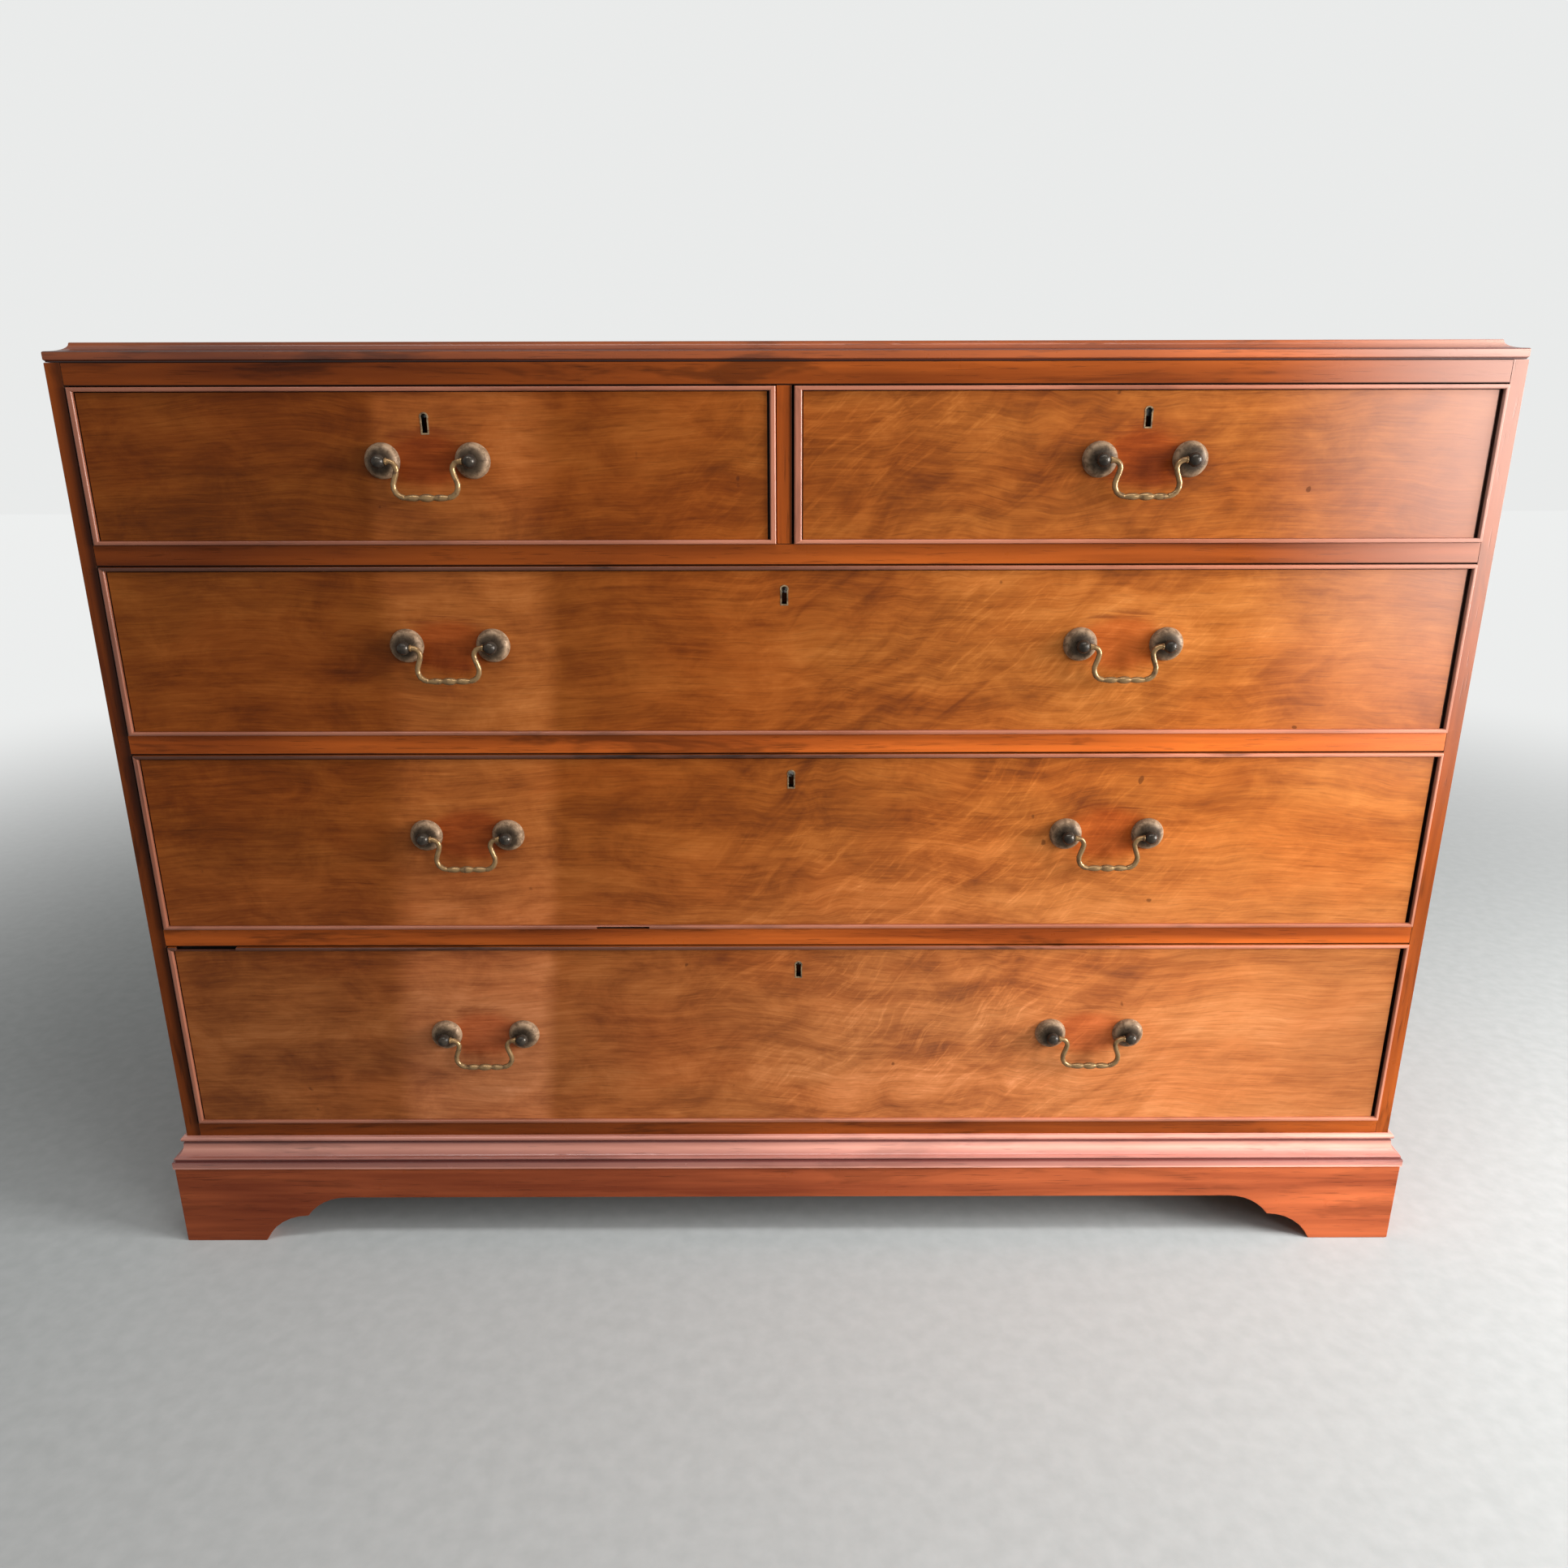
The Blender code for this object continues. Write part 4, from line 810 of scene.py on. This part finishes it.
def base_section():
    """The base moulding: fillet, quirk, round lip, hollow and bead, as (inset, height) from its widest."""
    reach = MOULDING_HIGH.x - RIGHT_OUT
    fillet = 0.0082
    lip_out, lip_radius = 0.0112, 0.0015
    quirk_top = fillet + 0.0010
    section = [(0, SEAT), (0, fillet - 0.0006), (0.0004, fillet - 0.0001)]
    section += [(reach - 0.0105, fillet), (reach - 0.0104, quirk_top)]
    for step in range(7):
        turn = math.radians(-50 + step * 20)
        inset = reach - lip_out + lip_radius - lip_radius * math.cos(turn)
        section.append((inset, quirk_top + lip_radius * (1 + math.sin(turn))))
    hollow_start = section[-1]
    neck = (reach - 0.0030, quirk_top + 0.0160)
    section += curve_steps(hollow_start, neck, 9, "flat_first")
    bead_radius = 0.00275
    bead = (reach - 0.0047 + bead_radius, neck[1] + 0.0012 + bead_radius)
    section.append((bead[0], bead[1] - bead_radius - 0.0002))
    for step in range(1, 9):
        turn = math.radians(-90 + step * 22.5)
        section.append((bead[0] - bead_radius * math.cos(turn), bead[1] + bead_radius * math.sin(turn)))
    return section


def base_moulding():
    section = base_section()
    reach = MOULDING_HIGH.x - RIGHT_OUT
    run = moulded_block(
        "base_moulding_run",
        section,
        PLINTH_TOP,
        MOULDING_LOW.x,
        MOULDING_HIGH.x,
        MOULDING_LOW.y,
        BACK_Y,
    )
    inside = block(
        "carcass_room",
        (LEFT_OUT - SEAT, FRONT_Y - SEAT, PLINTH_TOP - reach),
        (RIGHT_OUT + SEAT, BACK_Y + reach, MOULDING_HIGH.z + reach),
    )
    smooth(carve(run, inside), math.radians(30))
    dress(run, "carcass", MOULDING["x"], MOULDING["y"], slot="mahogany_carcass", replaces=["base_moulding"])
    run_grain_round(run)


def linings():
    """Boards that show only from behind, from below or past an open drawer."""
    grain = {"centre_partition": "y", "rear_left_foot": "x", "rear_right_foot": "x"}
    for node in ("upper_dust_board", "middle_dust_board", "lower_dust_board", "bottom_board", *grain):
        piece = ease(clean_copy(node, f"{node}_planed"), 0.0005, 1)
        dress(piece, "carcass", OAK[grain.get(node, "x")], slot="oak_lining", replaces=[node])
    for node in ("back_board_lower", "back_board_upper"):
        piece = ease(clean_copy(node, f"{node}_sawn"), 0.0008, 1)
        dress(piece, "carcass", PINE, slot="pine_back", replaces=[node])


# Drawers


def keyhole_plug(name, centre, grow, front, back):
    """A solid of the keyhole's outline, grown all round: a round head and a straight slot."""
    top = centre.z + KEYHOLE_HEIGHT / 2
    head_centre = Vector((centre.x, (front + back) / 2, top - KEYHOLE_HEAD))
    plug = rod(name, head_centre, KEYHOLE_HEAD + grow, back - front, 28)
    half = KEYHOLE_SLOT / 2 + grow
    slot = block(
        "slot",
        (centre.x - half, front, centre.z - KEYHOLE_HEIGHT / 2 - grow),
        (centre.x + half, back, head_centre.z),
    )
    return carve(plug, slot, operation="UNION")


def cock_bead(drawer, low, high):
    """The bead round a drawer: a frame of four strips with a round nose, let into the edge of the front."""
    bead = sheet(f"{drawer}_cock_bead", (low.x, FRONT_Y, low.z), (high.x, FRONT_Y, high.z), "Y")
    nose = BEAD_WIDTH * 0.40
    length = high.x - low.x
    left_end, right_end = END_BEADS.get(drawer, LONG_END_BEADS)
    narrowing = (length - left_end - right_end) / (length - 2 * BEAD_WIDTH)
    with bench(bead):
        bpy.ops.mesh.select_all(action="SELECT")
        bpy.ops.mesh.inset(thickness=BEAD_WIDTH, depth=0)
        bpy.ops.transform.resize(value=(narrowing, 1, 1), center_override=(low + high) / 2)
        bpy.ops.transform.translate(value=((left_end - right_end) / 2, 0, 0))
        bpy.ops.mesh.delete(type="FACE")
        bpy.ops.mesh.select_all(action="SELECT")
        bpy.ops.transform.translate(value=(0, BEAD_DEPTH, 0))
        bpy.ops.mesh.extrude_region_move(
            TRANSFORM_OT_translate={"value": (0, -BEAD_DEPTH - BEAD_PROJECTION, 0)}
        )
        bpy.ops.mesh.select_all(action="SELECT")
        bpy.ops.mesh.normals_make_consistent(inside=False)
        bpy.ops.mesh.select_mode(type="EDGE")
        front = FRONT_Y - BEAD_PROJECTION + SEAT

        def runs_round(a, b):
            along = abs(a.x - b.x) < SEAT or abs(a.z - b.z) < SEAT
            return a.y < front and b.y < front and along

        pick_edges(runs_round)
        bpy.ops.mesh.bevel(offset=nose, segments=5, affect="EDGES")
    if drawer in CHIPS:
        (start, end), edge = CHIPS[drawer]
        middle = low.z if edge == "lower" else high.z
        reach = BEAD_WIDTH * 0.75
        chip = block(
            "chip",
            (start, FRONT_Y - BEAD_WIDTH, middle - reach),
            (end, FRONT_Y + BEAD_WIDTH, middle + reach),
        )
        carve(bead, chip)
    smooth(bead)
    # The long drawers' upper strips take the bead finish with painted shade.
    upper = BEAD["x"] if drawer.endswith("short_drawer") else SHADED_UPPER_BEAD
    dress(bead, drawer, BEAD["x"], BEAD["z"], upper, BEAD_BACK, slot="mahogany_front")
    for face in bead.data.polygons:
        near_end = min((face.center.x - low.x) / left_end, (high.x - face.center.x) / right_end)
        near_edge = min(face.center.z - low.z, high.z - face.center.z) / BEAD_WIDTH
        if face.center.y > FRONT_Y and min(near_end, near_edge) < 0.05:
            face.material_index = 3
        elif near_end < near_edge and near_end < 1.01:
            face.material_index = 1
        elif face.center.z > high.z - BEAD_WIDTH * 1.01:
            face.material_index = 2


def front_board(drawer, low, high, lock, handles):
    """The front: rebated for its bead, socketed for the dovetails, grooved, and cut for its lock and key."""
    board = block(
        f"{drawer}_front_board",
        (low.x, FRONT_Y + BEAD_DEPTH + SEAT, low.z),
        (high.x, FRONT_Y + FRONT_THICKNESS, high.z),
    )
    left_end, right_end = END_BEADS.get(drawer, LONG_END_BEADS)
    left_gap, right_gap = END_GAPS.get(drawer, LONG_END_GAPS)
    left, right = low.x + left_end + left_gap, high.x - right_end - right_gap
    lower, upper = low.z + BEAD_WIDTH + BEAD_GAPS["lower"], high.z - BEAD_WIDTH - BEAD_GAPS["upper"]
    face = block("face", (left, FRONT_Y, lower), (right, FRONT_Y + FRONT_THICKNESS / 2, upper))
    carve(board, face, operation="UNION")
    sides = [copy_of(NODES[f"{drawer}_{side}_side"], "tails") for side in ("left", "right")]
    for side in sides:
        with bench(side):
            bpy.ops.mesh.select_all(action="SELECT")
            bpy.ops.mesh.remove_doubles(threshold=MERGE_DISTANCE)
    carve(board, *sides)
    bottom_low, bottom_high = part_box(f"{drawer}_bottom")
    groove = block(
        "bottom_groove",
        (bottom_low.x - SEAT, FRONT_Y + FRONT_THICKNESS - GROOVE_DEPTH, bottom_low.z - SEAT),
        (bottom_high.x + SEAT, FRONT_Y + FRONT_THICKNESS * 2, bottom_high.z + SEAT),
    )
    bolt_low, bolt_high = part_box(f"{drawer}_lock_bolt")
    recess_top = Vector((bolt_high.x, bolt_high.y, high.z + BEAD_WIDTH))
    recess = block("bolt_recess", bolt_low - FIT, recess_top + FIT)
    hole = keyhole_plug("keyhole", lock, ESCUTCHEON_WALL, FRONT_Y - BEAD_PROJECTION, bolt_high.y)
    carve(board, groove, recess, hole)
    ease(board, 0.0004)
    dress(board, drawer, figured_mahogany(f"{drawer}_mahogany", handles), slot="mahogany_front")
    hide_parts(f"{drawer}_front")


def escutcheon(drawer, lock, back):
    """The thread escutcheon: a thin brass lining that stands a hair proud of the wood."""
    ring = keyhole_plug(f"{drawer}_escutcheon", lock, ESCUTCHEON_WALL - 0.00005, FRONT_Y - 0.00025, back)
    hole = keyhole_plug("key_way", lock, 0, FRONT_Y - 0.002, back + 0.002)
    smooth(ease(carve(ring, hole), 0.00012, 1))
    dress(ring, drawer, THREAD_BRASS, slot="aged_brass")


def lock_case(drawer, lock, high):
    """The box of the lock on the back of the front, with its four screws."""
    back = FRONT_Y + FRONT_THICKNESS
    top = high.z - LOCK_CASE_BELOW_TOP
    plate = block(
        f"{drawer}_lock_case",
        (lock.x - LOCK_CASE.x / 2, back - LOCK_CASE.y / 2, top - LOCK_CASE.z),
        (lock.x + LOCK_CASE.x / 2, back + LOCK_CASE.y * 0.4, top),
    )
    with bench(plate):
        pick_faces(lambda middle, normal: normal.y > 0.9)
        bpy.ops.mesh.inset(thickness=0.006, depth=0)
        bpy.ops.mesh.extrude_region_move(TRANSFORM_OT_translate={"value": (0, LOCK_CASE.y * 0.6, 0)})
    bolt_low, bolt_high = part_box(f"{drawer}_lock_bolt")
    carve(plate, block("bolt_way", bolt_low - FIT, bolt_high + FIT + Vector((0, 0, 0.02))))
    for across in (-1, 1):
        x = lock.x + across * (LOCK_CASE.x / 2 - SCREW_FROM_END)
        for up in (0.12, 0.88):
            place = Vector((x, back + LOCK_CASE.y * 0.4, top - LOCK_CASE.z * up))
            screw = rod("screw", place, SCREW_RADIUS, SCREW_HEIGHT, 20)
            slot_low = place - Vector((0.0025, -0.0002, 0.0003))
            slot_high = place + Vector((0.0025, 0.002, 0.0003))
            carve(screw, block("slot", slot_low, slot_high))
            carve(plate, screw, operation="UNION")
    ease(plate, 0.0003, 1)
    dress(plate, drawer, IRON, slot="lock_steel")


def drawer_linings(drawer):
    for part, along in (("left_side", "y"), ("right_side", "y"), ("back", "x"), ("bottom", "x")):
        node = f"{drawer}_{part}"
        piece = ease(clean_copy(node, f"{node}_planed"), 0.0004, 1)
        dress(piece, drawer, OAK[along], slot="oak_lining", replaces=[node])
    node = f"{drawer}_lock_bolt"
    piece = ease(clean_copy(node, f"{node}_filed"), 0.0004, 2)
    dress(piece, node, IRON, slot="lock_steel", replaces=[node])


# Handles


def turned(name, profile, steps):
    """A piece turned about the origin's front-to-back axis: rings drawn out along (reach, radius) pairs."""
    reach, radius = profile[0]
    piece = disc(name, (0, -reach, 0), radius, steps)
    with bench(piece):
        bpy.ops.mesh.select_all(action="SELECT")
        for next_reach, next_radius in profile[1:]:
            bpy.ops.mesh.extrude_region_move(TRANSFORM_OT_translate={"value": (0, reach - next_reach, 0)})
            size = next_radius / radius
            bpy.ops.transform.resize(value=(size, 1, size), center_override=(0, -next_reach, 0))
            reach, radius = next_reach, next_radius
        bpy.ops.mesh.select_all(action="SELECT")
        bpy.ops.mesh.normals_make_consistent(inside=False)
    return smooth(piece, math.radians(40))


def rose_profile():
    """A smooth domed rose with a thin rim that meets the wood."""
    profile = [(-0.0006, 0.0147), (0.0003, 0.0150), (0.0010, 0.0149), (ROSE_RIM, 0.0146)]
    for step in range(1, 10):
        turn = math.pi / 2 * step / 9
        radius = ROSE_NECK + ROSE_SPAN * math.cos(turn) ** 0.95
        profile.append((ROSE_RIM + ROSE_RISE * math.sin(turn) ** 0.95, radius))
    return profile


def ball_profile():
    """The post: a short waist that opens into a ball."""
    profile = [(0.0060, ROSE_NECK), (0.0066, 0.0032), (0.0070, POST_WAIST)]
    steps = 14
    neck = math.asin(POST_WAIST / BALL_RADIUS)
    for step in range(1, steps + 1):
        turn = neck + (math.radians(176) - neck) * step / steps
        profile.append((POST_REACH - BALL_RADIUS * math.cos(turn), BALL_RADIUS * math.sin(turn)))
    profile.append((POST_REACH + BALL_RADIUS, 0.00008))
    return profile


def bail_line():
    """Half of the bail's centre line, from its pin down the swan neck to the middle of the grip."""
    half = HANDLE_SPACING / 2
    shares = ((0.790, 0.002), (0.735, 0.015), (0.675, 0.055), (0.632, 0.130), (0.615, 0.220), (0.640, 0.360))
    shares += ((0.680, 0.500), (0.710, 0.620), (0.706, 0.750), (0.662, 0.875), (0.585, 0.955), (0.500, 0.992))
    return [(half * across, -BAIL_DROP * down) for across, down in shares]


def bail_master():
    """A swan neck bail about its pivot: a drawn tube that swells into three leafy knops at the grip."""
    half = HANDLE_SPACING / 2
    knop_rings = []
    steps = 15
    for step in range(steps + 1):
        x = KNOPS_REACH * (1 - step / steps)
        if x > MIDDLE_KNOP_REACH:
            share = (x - MIDDLE_KNOP_REACH) / SIDE_KNOP_LENGTH
            radius = KNOP_NECK + SIDE_KNOP_SWELL * math.sin(math.pi * share ** 0.8)
        else:
            turn = math.pi / 2 * x / MIDDLE_KNOP_REACH
            radius = KNOP_NECK + MIDDLE_KNOP_SWELL * math.cos(turn) ** 0.8
        knop_rings.append((x, -BAIL_DROP, radius))
    ball_side = half - BALL_RADIUS
    pin = [(ball_side + PIN_DEPTH - SEAT * 2, 0, PIN_RADIUS), (ball_side + 0.0004, 0, PIN_RADIUS)]
    collar = [
        (ball_side + 0.0002, 0, 0.0029),
        (ball_side - 0.0010, 0, 0.0031),
        (ball_side - 0.0013, 0, BAIL_RADIUS),
    ]
    points = pin + collar + [(x, z, BAIL_RADIUS) for x, z in bail_line()] + knop_rings
    points += [(-x, z, radius) for x, z, radius in reversed(points[:-1])]
    let_go()
    bpy.ops.curve.primitive_nurbs_path_add()
    tube = bpy.context.object
    line = tube.data
    line.splines.clear()
    spline = line.splines.new("POLY")
    spline.points.add(len(points) - 1)
    for point, (x, z, radius) in zip(spline.points, points):
        point.co = (x, 0, z, 1)
        point.radius = radius / BAIL_RADIUS
    line.bevel_depth = BAIL_RADIUS
    line.bevel_resolution = 4
    line.use_fill_caps = True
    bpy.ops.object.convert(target="MESH")
    piece = settle("bail_master")
    with bench(piece, "VERT"):
        bpy.ops.mesh.select_all(action="SELECT")
        bpy.ops.mesh.remove_doubles(threshold=MERGE_DISTANCE)
        bpy.ops.mesh.normals_make_consistent(inside=False)
    return smooth(piece, math.radians(50))


def placed_copy(master, name, place):
    twin = copy_of(master, name)
    twin.data.transform(Matrix.Translation(place))
    return twin


def handles():
    """Eight bails with two roses and two ball posts each, modelled once."""
    rose = turned("rose_master", rose_profile(), 48)
    ball = turned("post_master", ball_profile(), 32)
    bail = bail_master()
    for node, pivot in PIVOTS.items():
        drawer = next(name for name, bails in DRAWERS.items() if node in bails)
        handle = node.removesuffix("_bail")
        for side, across in (("left", -1), ("right", 1)):
            centre = Vector((pivot.x + across * HANDLE_SPACING / 2, FRONT_Y, pivot.z))
            plate = placed_copy(rose, f"{handle}_{side}_rose", centre)
            dress(plate, drawer, ROSE_BRASS, slot="aged_brass")
            post = placed_copy(ball, f"{handle}_{side}_post", centre)
            inward = BALL_RADIUS - PIN_DEPTH / 2 + SOCKET_OVERRUN / 2
            middle = centre + Vector((-across * inward, -POST_REACH, 0))
            depth = PIN_DEPTH + SOCKET_OVERRUN
            carve(post, rod("pin_socket", middle, PIN_RADIUS + SEAT / 2, depth, 16, "X"))
            smooth(post, math.radians(40))
            dress(post, drawer, BALL_BRASS, slot="aged_brass")
        swan_neck = placed_copy(bail, f"{handle}_swan_neck_bail", pivot)
        dress(swan_neck, node, BAIL_BRASS, slot="aged_brass", replaces=[node])
    for master in (rose, ball, bail):
        bpy.data.objects.remove(master)


def drawers():
    for drawer, bails in DRAWERS.items():
        low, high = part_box(f"{drawer}_front")
        bolt_low, bolt_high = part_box(f"{drawer}_lock_bolt")
        below = KEYHOLES_BELOW_TOP.get(drawer, KEYHOLE_BELOW_TOP)
        lock = Vector(((bolt_low.x + bolt_high.x) / 2, FRONT_Y, high.z - below))
        cock_bead(drawer, low, high)
        front_board(drawer, low, high, lock, [PIVOTS[bail] for bail in bails])
        escutcheon(drawer, lock, bolt_low.y - SEAT)
        lock_case(drawer, lock, high)
        drawer_linings(drawer)


# Studio

BACKDROP = rgb(0.82, 0.83, 0.825)
BACKDROP_LIGHT = 0.24
EYE = Vector((-0.0029, -1.2534, 0.8153))
EYE_TURNS = (17.782, 0.015, -0.131)
LENS = 26.49
SENSOR_WIDTH = 36


def seen_rays(finish):
    """One for what the camera, a reflection or a glass sees, and nought for what only lights."""
    rays = finish.node("ShaderNodeLightPath", {}).socket.node
    camera_ray, glossy, clear = (
        Wire(finish, rays.outputs[f"Is {kind} Ray"]) for kind in ("Camera", "Glossy", "Transmission")
    )
    return finish.maths("MAXIMUM", camera_ray, finish.maths("MAXIMUM", glossy, clear))


def floor():
    """A pale floor that keeps the chest's shadow and runs into the backdrop's tone further out."""
    ground = sheet("studio_floor", (-9, -9, 0), (9, 9, 0))
    finish = Finish("pale_floor", Roughness=0.85, IOR=1.2, Emission_Strength=1.0)
    x, y, _ = finish.axes()
    far = finish.step(finish.maths("SQRT", x * x + y * y), 0.9, 3.0)
    speckle = finish.noise(finish.place, 60, 3)
    carpet = finish.ramp(speckle, (0.3, (0.39, 0.405, 0.40)), (0.7, (0.43, 0.445, 0.44)))
    glow = finish.tint(BACKDROP[:3], far * seen_rays(finish))
    finish.join(finish.shader.inputs["Emission Color"], glow)
    finish.surface(finish.tint(carpet, 1 - far))
    ground.data.materials.append(finish.material)


def lamp(name, place, target, size, power, colour=(1, 1, 1)):
    data = bpy.data.lights.new(name, "AREA")
    data.shape = "RECTANGLE"
    data.size, data.size_y = size
    data.energy = power
    data.color = colour
    light = bpy.data.objects.new(name, data)
    bpy.context.scene.collection.objects.link(light)
    light.location = place
    light.rotation_euler = (Vector(target) - Vector(place)).to_track_quat("-Z", "Y").to_euler()


def studio():
    """The floor, a pale room that lights the chest less than it shows, and three lamps."""
    floor()
    world = bpy.data.worlds.new("pale_room")
    bpy.context.scene.world = world
    world.use_nodes = True
    tree = world.node_tree
    background = tree.nodes["Background"]
    path = tree.nodes.new("ShaderNodeLightPath")
    seen = tree.nodes.new("ShaderNodeMath")
    seen.operation = "MAXIMUM"
    glossy = tree.nodes.new("ShaderNodeMath")
    glossy.operation = "MAXIMUM"
    tree.links.new(path.outputs["Is Glossy Ray"], glossy.inputs[0])
    tree.links.new(path.outputs["Is Transmission Ray"], glossy.inputs[1])
    tree.links.new(path.outputs["Is Camera Ray"], seen.inputs[0])
    tree.links.new(glossy.outputs[0], seen.inputs[1])
    level = tree.nodes.new("ShaderNodeMapRange")
    tree.links.new(seen.outputs[0], level.inputs[0])
    level.inputs[3].default_value = BACKDROP_LIGHT
    level.inputs[4].default_value = 1.0
    tree.links.new(level.outputs[0], background.inputs["Strength"])
    background.inputs["Color"].default_value = BACKDROP
    lamp("window_light", (2.15, -0.85, 0.85), (0, -0.25, 0.35), (0.9, 1.2), 100)
    lamp("ceiling_light", (0, -1.15, 2.9), (0, -0.25, 0.2), (3.0, 0.4), 38)
    lamp("room_light", (1.75, -2.15, 1.25), (0.3, -0.25, 0.4), (0.9, 0.9), 14)


def camera():
    """The photograph's viewpoint, solved from the chest's upright and level edges."""
    pitch, yaw, roll = (math.radians(angle) for angle in EYE_TURNS)
    forward = Vector((math.sin(yaw) * math.cos(pitch), math.cos(yaw) * math.cos(pitch), -math.sin(pitch)))
    level_right = Vector((math.cos(yaw), -math.sin(yaw), 0))
    level_up = level_right.cross(forward)
    right = level_right * math.cos(roll) + level_up * math.sin(roll)
    up = level_up * math.cos(roll) - level_right * math.sin(roll)
    data = bpy.data.cameras.new("viewpoint")
    data.lens = LENS
    data.sensor_width = SENSOR_WIDTH
    eye = bpy.data.objects.new("viewpoint", data)
    bpy.context.scene.collection.objects.link(eye)
    turn = Matrix((right, up, -forward)).transposed().to_4x4()
    eye.matrix_world = Matrix.Translation(EYE) @ turn
    bpy.context.scene.camera = eye


camera()
eased_carcass()
top_board()
base_moulding()
linings()
drawers()
handles()
studio()
bpy.context.scene.view_settings.view_transform = "Standard"
